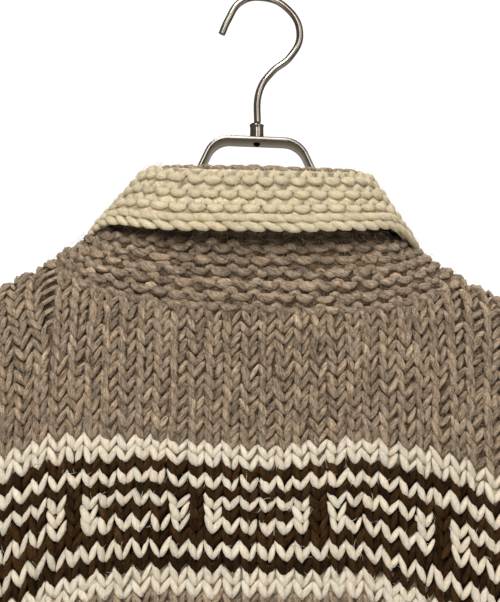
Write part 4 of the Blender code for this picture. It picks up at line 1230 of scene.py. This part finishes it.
def knit_rib(name, form, repeats, rows_long, turned, stands_for, rng):
    """A ribbed piece on its own form, which has RIB_COLUMNS columns to a repeat."""
    last_row = form["points"].shape[0] - 1
    rows = np.linspace(0.3, last_row - 0.1, rows_long + 1)
    turns = []
    for k in range(repeats):
        turns += [k + RIB_MIDDLE - RIB_SHARE, k + RIB_MIDDLE + RIB_SHARE]
        turns += [k + FURROW_MIDDLE - FURROW_SHARE / 2, k + FURROW_MIDDLE + FURROW_SHARE / 2]
    lines = np.array(turns) * RIB_COLUMNS
    if turned:
        lines = lines[::-1]
    form_rows = np.broadcast_to(rows[:, None], (len(rows), len(lines)))
    form_columns = np.broadcast_to(lines, form_rows.shape)
    odd = 2 if turned else 0
    cells = [(r, c) for r in range(rows_long) for c in range(0, len(lines) - 1, 2)]
    ribs = [(r, c) for r, c in cells if c % 4 == odd]
    furrows = [(r, c) for r, c in cells if c % 4 != odd]
    knits = lay_stitches(name + "_stitches", form, form_rows, form_columns, ribs, "T" * len(ribs),
                         LEG_PLAIN, 4, rng)
    purls = lay_purls(name + "_purls", form, form_rows, form_columns, furrows, rng)
    columns = np.arange(0.0, repeats * RIB_COLUMNS + 1, 2)
    # The ground sheet's colour is darkened as painted shade
    cloth = plain_sheet(name + "_cloth", form, np.linspace(0, last_row, 9), columns,
                        ground_colour_in_shade("T"), RIB_WALL, form["round"])
    for piece in (knits, purls):
        dress(piece, knit_wool)
    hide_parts(stands_for)


rng = np.random.default_rng(37)
welt_downs = np.linspace(RIB_TOP + 2 * SEAM, HEM, RIB_RINGS)
for name, side, start, stop in (
    ("back_welt", 1, -CHEST_HALF, CHEST_HALF),
    ("front_welt_left", -1, BAND_HALF, CHEST_HALF),
    ("front_welt_right", -1, -BAND_HALF, -CHEST_HALF),
):
    repeats = round(abs(stop - start) / RIB_WIDTH)
    across = np.linspace(start, stop, repeats * RIB_COLUMNS + 1)
    rise = RIB_RISE * rib_profile(np.linspace(0, repeats, len(across)))
    body_form = body_forms["back" if side > 0 else "front"]
    grid = []
    for down in welt_downs:
        lift = rise * eased(down - RIB_TOP, 0, RIB_EASE_IN)
        line, _ = on_form(body_form, np.full(len(across), row_of(down)), column_of(across), lift)
        grid.append(line)
    form = make_form(np.array(grid), (0, side, 0))
    turned = (stop > start) == (side > 0)
    knit_rib(name, form, repeats, 9, turned, name, rng)

# ---- The sleeves ---------------------------------------------------------------------
# Tubes of plain stocking stitch in the ground yarn, set into the armholes. They hang
# empty beside the body, with soft folds under the arm.

SLEEVE_RINGS = {
    "top": ((0.2520, -0.2360), (0.2790, -0.2610), (0.3050, -0.2970), (0.3270, -0.3380), (0.3430, -0.3930),
            (0.3540, -0.4510), (0.3610, -0.5100), (0.3650, -0.5690), (0.3660, -0.6240), (0.3640, -0.6720)),
    "under": ((0.2530, -0.3980), (0.2600, -0.4060), (0.2600, -0.4250), (0.2580, -0.4490), (0.2570, -0.4780),
              (0.2560, -0.5120), (0.2570, -0.5530), (0.2600, -0.5990), (0.2650, -0.6460), (0.2710, -0.6890)),
    "half_depth": (0.036, 0.040, 0.045, 0.049, 0.051, 0.051, 0.049, 0.046, 0.042, 0.038),
}
SLEEVE_SQUARENESS = 2.3
ARMHOLE_BLEND_RINGS = 4
UNDERARM_FOLD = 0.0022
LOWER_ARMHOLE = (ARCH_HEIGHT, 0.125, 0.160, 0.190, 0.215, 0.229, ARMHOLE_DEPTH)
SLEEVE_COLUMNS = 34
SLEEVE_ROW = 0.0064
SLEEVE_ROUND = 96
ARMHOLE_GIRTH = ((0.055, 0, 0.03), 0.050)
CRUSHED_FROM, CRUSHED_TO = 4, 8


def smooth_read(values, at):
    """Values at fractional places of a table, on a smooth curve through its rows."""
    values = np.asarray(values, float)
    padded = np.concatenate([[2 * values[0] - values[1]], values, [2 * values[-1] - values[-2]]])
    i = np.clip(np.floor(at).astype(int), 0, len(values) - 2)
    t = np.asarray(at) - i
    if values.ndim > 1:
        t = t[:, None]
    p0, p1, p2, p3 = (padded[i + k] for k in range(4))
    square, cube = 2 * p0 - 5 * p1 + 4 * p2 - p3, 3 * p1 - p0 - 3 * p2 + p3
    curve = 2 * p1 + (p2 - p0) * t + square * t**2 + cube * t**3
    return np.where(np.broadcast_to(t < 0, curve.shape), p1 + (p2 - p1) * t, curve / 2)


def ring_points(centre, half, half_depth, angle, squareness):
    """Points round a sleeve, from its outer fold over the back."""
    power = 2 / squareness
    c, s = np.cos(angle), np.sin(angle)
    along = half * np.copysign(np.abs(c) ** power, c)[:, None]
    aside = np.zeros_like(along)
    aside[:, 1] = half_depth * np.copysign(np.abs(s) ** power, s)
    return centre + along + aside


def sleeve_lines(hand, at):
    """Outer and inner fold of a sleeve, at many rings."""
    folds = []
    for name in ("top", "under"):
        x, z = smooth_read(SLEEVE_RINGS[name], at).T
        folds.append(np.stack([hand * x, 0 * x, z + HANG_TILT * hand * x], axis=1))
    return folds


def armhole_loop(hand, angle):
    """Points round the armhole, from the shoulder down the back and up the front."""
    turn = 24 * angle / (2 * math.pi)
    step = np.minimum(turn, 24 - turn)
    level = np.where(step <= 6, ARCH_HEIGHT * (1 - np.cos(np.radians(15 * np.minimum(step, 6)))),
                     np.interp(step, np.arange(6, 13), LOWER_ARMHOLE))
    side = np.where(turn <= 12, 1, -1)
    points = [body_row(np.array([hand * edge_across(d)]), d, f)[0] for d, f in zip(level, side)]
    return np.array(points)


def sleeve_grid(hand):
    """The sleeve's outer face, ring by ring from the armhole to the cuff."""
    even = np.linspace(0, 2 * math.pi, 4 * SLEEVE_ROUND + 1)
    half, half_depth = ARMHOLE_GIRTH
    run = run_along(ring_points(np.zeros(3), np.array(half), half_depth, even, SLEEVE_SQUARENESS))
    angle = np.interp(np.linspace(0, run[-1], SLEEVE_ROUND + 1), run, even)
    loop = armhole_loop(hand, angle)
    ends = armhole_loop(hand, np.array([0.0, math.pi]))
    rings = np.linspace(0, 10, 121)
    top, under = sleeve_lines(hand, rings - 1)
    depth = smooth_read(SLEEVE_RINGS["half_depth"], rings - 1)
    grid = []
    for k, t in enumerate(rings):
        centre, half = (top[k] + under[k]) / 2, (top[k] - under[k]) / 2
        ring = ring_points(centre, half, depth[k], angle, SLEEVE_SQUARENESS)
        crush = -UNDERARM_FOLD * math.cos(math.pi * (t - 1)) * (1 - eased(t - 1, CRUSHED_FROM, CRUSHED_TO))
        ring = ring + unit(ring - centre) * (crush * np.maximum(-np.cos(angle), 0))[:, None]
        weight = 1 - max(1 - t / ARMHOLE_BLEND_RINGS, 0.0) ** 2
        shift = centre - ends.mean(axis=0)
        grid.append((loop + shift * min(t, 1)) * (1 - weight) + ring * weight)
    return np.array(grid)


rng = np.random.default_rng(53)
for name, hand in (("left", 1), ("right", -1)):
    form = make_form(sleeve_grid(hand), (-hand, 0, 0), round_it=True)
    lines = np.linspace(0, SLEEVE_ROUND, SLEEVE_COLUMNS + 1)[::hand]
    index = np.arange(form["points"].shape[0], dtype=float)
    columns = []
    for line in lines:
        places, _ = on_form(form, index, np.full(len(index), line))
        run = run_along(places)
        columns.append((run, run[-1]))
    count = int(max(total for _, total in columns) / SLEEVE_ROW)
    lattice = np.empty((count + 1, len(lines)))
    for c, (run, total) in enumerate(columns):
        wanted = total - SLEEVE_ROW * (count - np.arange(count + 1)) + 0.001
        lattice[:, c] = np.where(wanted < 0, wanted * 200, np.interp(wanted, run, index))
    cells = [(r, c) for r in range(count) for c in range(SLEEVE_COLUMNS)
             if lattice[r : r + 2, c : c + 2].mean() > TOP_ROW]
    form_columns = np.broadcast_to(lines, lattice.shape)
    stitches = lay_stitches(f"sleeve_{name}_stitches", form, lattice, form_columns, cells, "T" * len(cells),
                            LEG_PLAIN, 3, rng)
    dress(stitches, knit_wool)
    # The ground sheet's colour is darkened as painted shade
    cloth = plain_sheet(f"sleeve_{name}_cloth", form, np.linspace(0, 120, 61), 1.5 * np.arange(65),
                        ground_colour_in_shade("T"), GROUND_WALL, closed=True)
    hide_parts(f"sleeve_{name}")

# ---- The cuffs -----------------------------------------------------------------------
# Ribbed like the welts and a little drawn in, knitted on at the ends of the sleeves.

CUFF_LENGTH = 0.066
CUFF_SIZES = {"along": (SEAM, RIB_EASE_IN, CUFF_LENGTH), "size": (1.0, 0.96, 0.88)}
CUFF_RIBS = 11

rng = np.random.default_rng(61)
for name, hand in (("left", 1), ("right", -1)):
    top, under = (fold[0] for fold in sleeve_lines(hand, np.array([9.0])))
    down_arm = unit(np.cross(top - under, (0, 1, 0)))
    down_arm = down_arm * -np.sign(down_arm[2])
    angle = np.linspace(0, 2 * math.pi, CUFF_RIBS * RIB_COLUMNS + 1)
    rise = rib_profile(np.linspace(0, CUFF_RIBS, len(angle)))
    grid = []
    for along in np.linspace(SEAM, CUFF_LENGTH, RIB_RINGS):
        size = np.interp(along, CUFF_SIZES["along"], CUFF_SIZES["size"])
        centre = (top + under) / 2 + down_arm * along
        ring = ring_points(centre, (top - under) / 2 * size, SLEEVE_RINGS["half_depth"][-1] * size,
                           angle, SLEEVE_SQUARENESS)
        lift = RIB_RISE * rise * eased(along, 0, RIB_EASE_IN)
        grid.append(ring + unit(ring - centre) * lift[:, None])
    form = make_form(np.array(grid), (-hand, 0, 0), round_it=True)
    knit_rib(f"cuff_{name}", form, CUFF_RIBS, 10, hand < 0, f"cuff_{name}", rng)

# ---- The front bands -----------------------------------------------------------------
# Narrow strips of garter stitch knitted lengthways, so their ridges run up and down. The
# wearer's left band laps over the right one.

BAND_TOP = FRONT_NECK_DROP + 2 * SEAM
BAND_RIDGES = 5
BAND_STEPS = 20
# The right band lies under the left one. It stops just short of the left one's far edge,
# and on its own side it reaches a little way under the right front
UNDERLAP_EDGES = (BAND_HALF - 0.002, -BAND_HALF - 0.007)
UNDERLAP_WALL = (0.0044, 0.0003)

rng = np.random.default_rng(71)
band_downs = np.linspace(BAND_TOP, HEM, 116)
band_columns = np.arange(0.0, len(band_downs), 2)


def band_points(across):
    """Points of a front band's outer face, one row for each distance across."""
    points, _ = on_form(body_forms["front"], row_of(band_downs)[None] + 0 * across[:, None],
                        column_of(across)[:, None] + 0 * band_downs)
    return points


band_across = np.linspace(BAND_HALF - SEAM, SEAM - BAND_HALF, BAND_STEPS + 1)
band_form = make_form(band_points(band_across), (0, -1, 0))
band_ridges = []
for k in range(BAND_RIDGES):
    line = np.full(len(band_downs), BAND_STEPS * (k + 0.5) / BAND_RIDGES)
    band_ridges.append(lay_garter(band_form, line, 0, len(band_downs) - 1, GARTER_ROW, -1, rng,
                                  stretch=0.98, lift=-0.5))
band_stitches = raise_ridges("band_left_stitches", band_form, band_ridges, "T", 6, rng)
dress(band_stitches, knit_wool)
# The ground sheet's colour is darkened as painted shade
band_cloth = plain_sheet("band_left_cloth", band_form, np.linspace(0, BAND_STEPS, 11), band_columns,
                         ground_colour_in_shade("T"), RIB_WALL)
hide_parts("band_left")

under_points = band_points(np.linspace(*UNDERLAP_EDGES, 9)) + np.array((0, WALL + SEAM, 0))
under_form = make_form(under_points, (0, -1, 0))
# The ground sheet's colour is darkened as painted shade
under_cloth = plain_sheet("band_right_cloth", under_form, np.arange(9.0), band_columns,
                          ground_colour_in_shade("T"), UNDERLAP_WALL)
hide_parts("band_right")

# ---- The buttons ---------------------------------------------------------------------
# Five turned wooden buttons with a rim and four holes, sewn on with the ground yarn in
# two parallel stitches.

BUTTON_COUNT = 5
BUTTON_RADIUS = 0.0125
BUTTON_THICK = 0.0042
BUTTON_DISH = 0.0009
BUTTON_RIM = 0.0024
BUTTON_SLOPE = 0.0008
BUTTON_CENTRE = 0.0030
BUTTON_CROWN = 0.0002
BUTTON_HOLLOW = 0.0004
BUTTON_HOLE_RADIUS = 0.0012
BUTTON_HOLE_OFFSET = 0.0032
HOLE_REACH = BUTTON_HOLE_OFFSET / math.sqrt(2)
TOP_BUTTON_DOWN = 0.225
BUTTON_PITCH = 0.0975
THREAD = 0.00062
THREAD_APART = 0.45
# One stitch of thread from hole to hole: across the button, as a share of the holes'
# distance, and the height over its dished face
THREAD_LINE = ((-1.12, -0.0022), (-1.02, -0.0004), (-0.8, 0.0005), (0.0, 0.0008), (0.8, 0.0005),
               (1.02, -0.0004), (1.12, -0.0022))


def pick_piece(piece):
    """Selects one piece alone, for the operators that follow."""
    start_piece()
    piece.select_set(True)
    bpy.context.view_layer.objects.active = piece


def pick_faces(piece, wanted):
    """Selects, in edit mode, the faces whose middle and normal pass a test."""
    bpy.ops.object.mode_set(mode="OBJECT")
    for vertex in piece.data.vertices:
        vertex.select = False
    for line in piece.data.edges:
        line.select = False
    for face in piece.data.polygons:
        face.select = bool(wanted(face.center, face.normal))
    bpy.ops.object.mode_set(mode="EDIT")


def apply_all(piece):
    """Applies the modifiers of the piece that is being made."""
    for modifier in list(piece.modifiers):
        bpy.ops.object.modifier_apply(modifier=modifier.name)


def round_edges(piece, width, segments, degrees):
    """Rounds the edges that bend by more than so many degrees."""
    rounded = piece.modifiers.new("rounded_edges", "BEVEL")
    rounded.width = width
    rounded.segments = segments
    rounded.limit_method = "ANGLE"
    rounded.angle_limit = math.radians(degrees)
    apply_all(piece)


start_piece()
bpy.ops.mesh.primitive_cylinder_add(vertices=48, radius=BUTTON_RADIUS, depth=BUTTON_THICK)
button_model = bpy.context.object
button_model.name = "button_model"
bpy.ops.object.mode_set(mode="EDIT")
bpy.ops.mesh.select_mode(type="FACE")
pick_faces(button_model, lambda middle, normal: normal.z > 0.9)
bpy.ops.mesh.inset(thickness=BUTTON_RIM)
bpy.ops.mesh.inset(thickness=BUTTON_SLOPE)
bpy.ops.transform.translate(value=(0, 0, -BUTTON_DISH))
bpy.ops.mesh.inset(thickness=BUTTON_CENTRE)
bpy.ops.transform.translate(value=(0, 0, BUTTON_CROWN))
pick_faces(button_model, lambda middle, normal: normal.z < -0.9)
bpy.ops.mesh.inset(thickness=BUTTON_CENTRE)
bpy.ops.transform.translate(value=(0, 0, BUTTON_HOLLOW))
bpy.ops.object.mode_set(mode="OBJECT")
round_edges(button_model, 0.0009, 3, 50)
for sx in (-1, 1):
    for sy in (-1, 1):
        start_piece()
        place = (sx * HOLE_REACH, sy * HOLE_REACH, 0)
        bpy.ops.mesh.primitive_cylinder_add(
            vertices=16, radius=BUTTON_HOLE_RADIUS, depth=0.02, location=place)
        drill = bpy.context.object
        pick_piece(button_model)
        hole = button_model.modifiers.new("hole", "BOOLEAN")
        hole.object = drill
        apply_all(button_model)
        bpy.data.objects.remove(drill)
bpy.ops.object.shade_smooth_by_angle(angle=math.radians(35))


def tones(tree, along, dark, pale):
    """A colour that runs from dark to pale, each given with its place along the ramp."""
    ramp = add_node(tree, "ValToRGB", {"Fac": along})
    for stop, (place, colour) in zip(ramp.color_ramp.elements, (dark, pale)):
        stop.position = place
        stop.color = colour + (1,)
    return ramp.outputs["Color"]


def wood_look():
    """Oiled dark wood: fine grain lines in its tone, its gloss and its relief."""
    look = new_look("oiled_wood", {})
    tree = look.node_tree
    place = add_node(tree, "TexCoord", {})
    along = add_node(tree, "Mapping", {"Vector": place.outputs["Object"], "Scale": (150.0, 150.0, 1400.0)})
    grain = add_node(tree, "TexNoise", {"Vector": along.outputs["Vector"], "Scale": 1.0, "Detail": 5.0})
    line = grain.outputs["Fac"]
    gloss = add_node(tree, "MapRange", {"Value": line, "To Min": 0.22, "To Max": 0.38})
    relief = add_node(tree, "Bump", {"Strength": 0.25, "Distance": 0.0003, "Height": line})
    set_inputs(tree.nodes["Principled BSDF"], {
        "Base Color": tones(tree, line, (0.34, (0.014, 0.007, 0.004)), (0.70, (0.085, 0.042, 0.020))),
        "Roughness": gloss.outputs["Result"], "Normal": relief.outputs["Normal"],
    })
    return look


oiled_wood = wood_look()
rng = np.random.default_rng(83)
for k in range(BUTTON_COUNT):
    node = f"button_{k + 1}"
    low, high = (Vector(corner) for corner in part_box(node))
    centre = (low + high) / 2
    down = TOP_BUTTON_DOWN + k * BUTTON_PITCH
    _, normals = on_form(body_forms["front"], np.array([row_of(down)]), column_of(np.zeros(1)), np.zeros(1))
    turn = Vector(normals[0]).to_track_quat("Z", "X").to_matrix().to_4x4()
    spin = Matrix.Rotation(rng.uniform(-0.25, 0.25), 4, "Z")
    matrix = Matrix.Translation(centre) @ turn @ spin
    data = button_model.data.copy()
    data.transform(matrix)
    button = bpy.data.objects.new(f"{node}_turned", data)
    bpy.context.scene.collection.objects.link(button)
    data.materials.clear()
    dress(button, oiled_wood)
    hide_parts(node)
    height = BUTTON_THICK / 2 - BUTTON_DISH
    strands = [[(sx * HOLE_REACH + shift * THREAD, y * HOLE_REACH, height + z) for y, z in THREAD_LINE]
               for sx in (-1, 1) for shift in (-THREAD_APART, THREAD_APART)]
    place = np.array(matrix)
    strands = np.array(strands) @ place[:3, :3].T + place[:3, 3]
    facing = np.broadcast_to(place[:3, 2], strands.shape)
    widths = np.full((len(strands), 5), THREAD)
    thread = closed_grains(f"{node}_thread", strands, facing, widths, yarn_colours("TTTT", rng), 8, rng)
    dress(thread, knit_wool)
bpy.data.objects.remove(button_model)

# ---- The hanger ----------------------------------------------------------------------
# A flat steel bar bent into a bridge, two legs and two arms, satin nickel plated, with a
# round wire hook set into it through a turned ferrule.

BAR_THICK = 0.0024
BAR_WIDTH = 0.025
BAR_TOP = -0.0820
BRIDGE_HALF = 0.0160
BRIDGE_RADIUS = 0.014
LEG_ANGLE = -64.5
LEG_FOOT_Z = -0.1680
SHELF_ANGLE = -4.0
SHELF_END_X = 0.110
ARM_ANGLE = -31.5
ARM_END_X = 0.205
BEND_RADIUS = 0.016
FERRULE_RADIUS = 0.0043
FERRULE_HEIGHT = 0.0093
FERRULE_CROWN = 0.0011
CROWN_SHARE = 0.76
GROOVE_HALF = 0.00035
GROOVE_SHARE = 0.93
RIVET_RADIUS = 0.0021
RIVET_FLATTENED = 0.80
HOOK_WIRE = 0.00205
# The hook's middle line from its open end to its foot: out to the side, and up
HOOK_POINTS = (
    (-0.0207, -0.0197), (-0.0172, -0.0118), (-0.0098, -0.0010), (0.0016, 0.00205), (0.0180, -0.0045),
    (0.0254, -0.0200), (0.0195, -0.0333), (0.0090, -0.0420), (0.0018, -0.0525), (0.0004, -0.0700),
)
HOOK_FOOT = BAR_TOP + FERRULE_HEIGHT + 2 * SEAM
BEND_STEPS = 14


def metal_marks():
    """Shared effect: fine brushing, drawn out by Stretch, and faint smudges."""
    group = new_effect("metal_marks", Place=("INPUT", "Vector"), Stretch=("INPUT", "Vector"),
                       Brushing=("OUTPUT", "Float"), Smudges=("OUTPUT", "Float"))
    given, result = group.nodes.new("NodeGroupInput"), group.nodes.new("NodeGroupOutput")
    place = given.outputs["Place"]
    along = add_node(group, "Mapping", {"Vector": place, "Scale": given.outputs["Stretch"]})
    brush = add_node(group, "TexNoise", {"Vector": along.outputs["Vector"], "Scale": 1.0, "Detail": 4.0})
    smudge = add_node(group, "TexNoise", {"Vector": place, "Scale": 55.0, "Detail": 3.0})
    set_inputs(result, {"Brushing": brush.outputs["Fac"], "Smudges": smudge.outputs["Fac"]})
    return group


METAL_MARKS = metal_marks()


def nickel_look(name, stretch, dark, pale, strength):
    """Satin nickel: a soft gloss with faint smudges, and brushing in its tone and relief."""
    look = new_look(name, {"Metallic": 1.0, "Specular Tint": (0.42, 0.385, 0.335, 1)})
    tree = look.node_tree
    place = add_node(tree, "TexCoord", {})
    marks = add_node(tree, "Group", {"Place": place.outputs["Object"], "Stretch": stretch},
                     node_tree=METAL_MARKS)
    brushing = marks.outputs["Brushing"]
    gloss = add_node(tree, "MapRange", {"Value": marks.outputs["Smudges"], "To Min": 0.12, "To Max": 0.26})
    relief = add_node(tree, "Bump", {"Strength": strength, "Distance": 0.0002, "Height": brushing})
    set_inputs(tree.nodes["Principled BSDF"], {
        "Base Color": tones(tree, brushing, (0.35, dark), (0.65, pale)),
        "Roughness": gloss.outputs["Result"], "Normal": relief.outputs["Normal"],
    })
    return look


brushed_bar = nickel_look("satin_nickel_bar", (60.0, 1500.0, 60.0),
                          (0.185, 0.170, 0.148), (0.270, 0.250, 0.220), 0.12)
plain_nickel = nickel_look("satin_nickel_wire", (110.0, 110.0, 110.0),
                           (0.22, 0.190, 0.160), (0.34, 0.300, 0.255), 0.03)
# The rivet's steel is painted nearly black, as painted shade for the hole under the bar
rivet_painted_shade = nickel_look("rivet_painted_shade", (260.0, 260.0, 260.0),
                         (0.012, 0.011, 0.010), (0.030, 0.027, 0.024), 0.05)


def finish_piece(piece, look, slot, *nodes):
    """Puts the piece's place into its mesh and hands it over."""
    bpy.ops.object.mode_set(mode="OBJECT")
    pick_piece(piece)
    bpy.ops.object.transform_apply(location=True, rotation=True, scale=True)
    piece.data.materials.clear()
    dress(piece, look)
    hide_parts(*nodes)
    piece.select_set(False)


# The bar: its cross section is drawn out along straight runs and spun round the bends
start_piece()
bar_x, bar_z, heading = 0.0, BAR_TOP - BAR_THICK / 2, 0.0
bpy.ops.mesh.primitive_plane_add(size=1.0, rotation=(0, math.pi / 2, 0), location=(0, 0, bar_z))
bar = bpy.context.object
bar.name = "hanger_bar_bent"
bar.scale = (BAR_THICK, BAR_WIDTH, 1.0)
bpy.ops.object.transform_apply(location=True, rotation=True, scale=True)
bpy.ops.object.mode_set(mode="EDIT")
bpy.ops.mesh.select_mode(type="FACE")
bpy.ops.mesh.select_all(action="SELECT")


def draw_out(length):
    """Draws the selected end of the bar straight on."""
    global bar_x, bar_z
    step = (math.cos(heading) * length, 0.0, math.sin(heading) * length)
    bpy.ops.mesh.extrude_region_move(TRANSFORM_OT_translate={"value": step})
    bar_x, bar_z = bar_x + step[0], bar_z + step[2]


def bend_to(degrees, radius):
    """Spins the selected end of the bar round a bend, to a new heading."""
    global bar_x, bar_z, heading
    angle = math.radians(degrees)
    turn = angle - heading
    hand = 1 if turn > 0 else -1
    centre_x = bar_x - math.sin(heading) * radius * hand
    centre_z = bar_z + math.cos(heading) * radius * hand
    bpy.ops.mesh.spin(steps=BEND_STEPS, angle=turn, center=(centre_x, 0, centre_z), axis=(0, 1, 0))
    heading = angle
    bar_x = centre_x + math.sin(heading) * radius * hand
    bar_z = centre_z - math.cos(heading) * radius * hand


draw_out(BRIDGE_HALF)
bend_to(LEG_ANGLE, BRIDGE_RADIUS)
draw_out((bar_z - LEG_FOOT_Z) / math.sin(-heading))
bend_to(SHELF_ANGLE, BEND_RADIUS)
draw_out((SHELF_END_X - bar_x) / math.cos(heading))
bend_to(ARM_ANGLE, BEND_RADIUS)
draw_out((ARM_END_X - bar_x) / math.cos(heading))
pick_faces(bar, lambda middle, normal: abs(middle.x) < 1e-6)
bpy.ops.mesh.delete(type="ONLY_FACE")
bpy.ops.object.mode_set(mode="OBJECT")
halves = bar.modifiers.new("other_half", "MIRROR")
halves.merge_threshold = 0.00005
apply_all(bar)
for vertex in bar.data.vertices:
    vertex.co.z += HANG_TILT * vertex.co.x
bpy.ops.object.mode_set(mode="EDIT")
bpy.ops.mesh.select_all(action="SELECT")
bpy.ops.mesh.normals_make_consistent(inside=False)
bpy.ops.object.mode_set(mode="OBJECT")
round_edges(bar, 0.0006, 3, 50)
bpy.ops.object.shade_smooth_by_angle(angle=math.radians(40))
finish_piece(bar, brushed_bar, "satin_nickel", "hanger_bar")

# The ferrule: a turned sleeve with two grooves, and the hook's riveted end under the bar
start_piece()
ferrule_foot = BAR_TOP + SEAM
ferrule_side = FERRULE_HEIGHT - FERRULE_CROWN
bpy.ops.mesh.primitive_cylinder_add(
    vertices=48, radius=FERRULE_RADIUS, depth=ferrule_side, location=(0, 0, ferrule_foot + ferrule_side / 2))
ferrule = bpy.context.object
ferrule.name = "hanger_ferrule_turned"
bpy.ops.object.mode_set(mode="EDIT")
bpy.ops.mesh.select_mode(type="FACE")
pick_faces(ferrule, lambda middle, normal: normal.z > 0.9)
bpy.ops.mesh.extrude_region_move(TRANSFORM_OT_translate={"value": (0, 0, FERRULE_CROWN)})
bpy.ops.transform.resize(
    value=(CROWN_SHARE, CROWN_SHARE, 1.0), center_override=(0, 0, ferrule_foot + FERRULE_HEIGHT))
for groove in (0.0014, ferrule_side - 0.0016):
    for height in (groove - GROOVE_HALF, groove + GROOVE_HALF):
        bpy.ops.mesh.select_all(action="SELECT")
        bpy.ops.mesh.bisect(plane_co=(0, 0, ferrule_foot + height), plane_no=(0, 0, 1))
    inside = groove - ferrule_side / 2
    pick_faces(ferrule, lambda middle, normal: abs(middle.z - inside) < 0.0003 and abs(normal.z) < 0.5)
    bpy.ops.transform.resize(
        value=(GROOVE_SHARE, GROOVE_SHARE, 1.0), center_override=(0, 0, ferrule_foot + groove))
bpy.ops.object.mode_set(mode="OBJECT")
round_edges(ferrule, 0.0003, 2, 30)
bpy.ops.object.shade_smooth_by_angle(angle=math.radians(40))
finish_piece(ferrule, plain_nickel, "satin_nickel", "hanger_ferrule")

# The hook's riveted end under the bar, nearly black as painted shade for the hole there
start_piece()
bpy.ops.mesh.primitive_uv_sphere_add(segments=24, ring_count=12, radius=RIVET_RADIUS, location=(0, 0, 0))
rivet = bpy.context.object
rivet.name = "hook_rivet"
rivet.scale = (1.0, 1.0, RIVET_FLATTENED)
rivet.location = (0, 0, BAR_TOP - BAR_THICK)
bpy.ops.object.shade_smooth()
bpy.ops.object.transform_apply(location=True, rotation=True, scale=True)
dress(rivet, rivet_painted_shade)
rivet.select_set(False)

# The hook: round wire along a smooth line, its open end rounded over
start_piece()
bpy.ops.curve.primitive_bezier_curve_add()
wire = bpy.context.object
wire.name = "hanger_hook_wire"
spline = wire.data.splines[0]
spline.bezier_points.add(len(HOOK_POINTS) - 2)
points = list(HOOK_POINTS[:-1]) + [(HOOK_POINTS[-1][0], HOOK_FOOT)]
for knot, (right, up) in zip(spline.bezier_points, points):
    knot.co = (-right, 0, up)
    knot.handle_left_type = knot.handle_right_type = "AUTO"
last = spline.bezier_points[-1]
last.handle_left_type = last.handle_right_type = "FREE"
last.handle_left = last.co + Vector((0, 0, 0.006))
last.handle_right = last.co - Vector((0, 0, 0.006))
wire.data.bevel_depth = HOOK_WIRE
wire.data.bevel_resolution = 6
wire.data.resolution_u = 16
wire.data.use_fill_caps = True
bpy.ops.object.convert(target="MESH")
wire = bpy.context.object
bpy.ops.object.mode_set(mode="EDIT")
bpy.ops.mesh.select_all(action="SELECT")
bpy.ops.mesh.remove_doubles(threshold=0.00002)
bpy.ops.mesh.normals_make_consistent(inside=False)
bpy.ops.object.mode_set(mode="OBJECT")
round_edges(wire, 0.0012, 4, 60)
bpy.ops.object.shade_smooth_by_angle(angle=math.radians(45))
finish_piece(wire, plain_nickel, "satin_nickel", "hanger_hook")
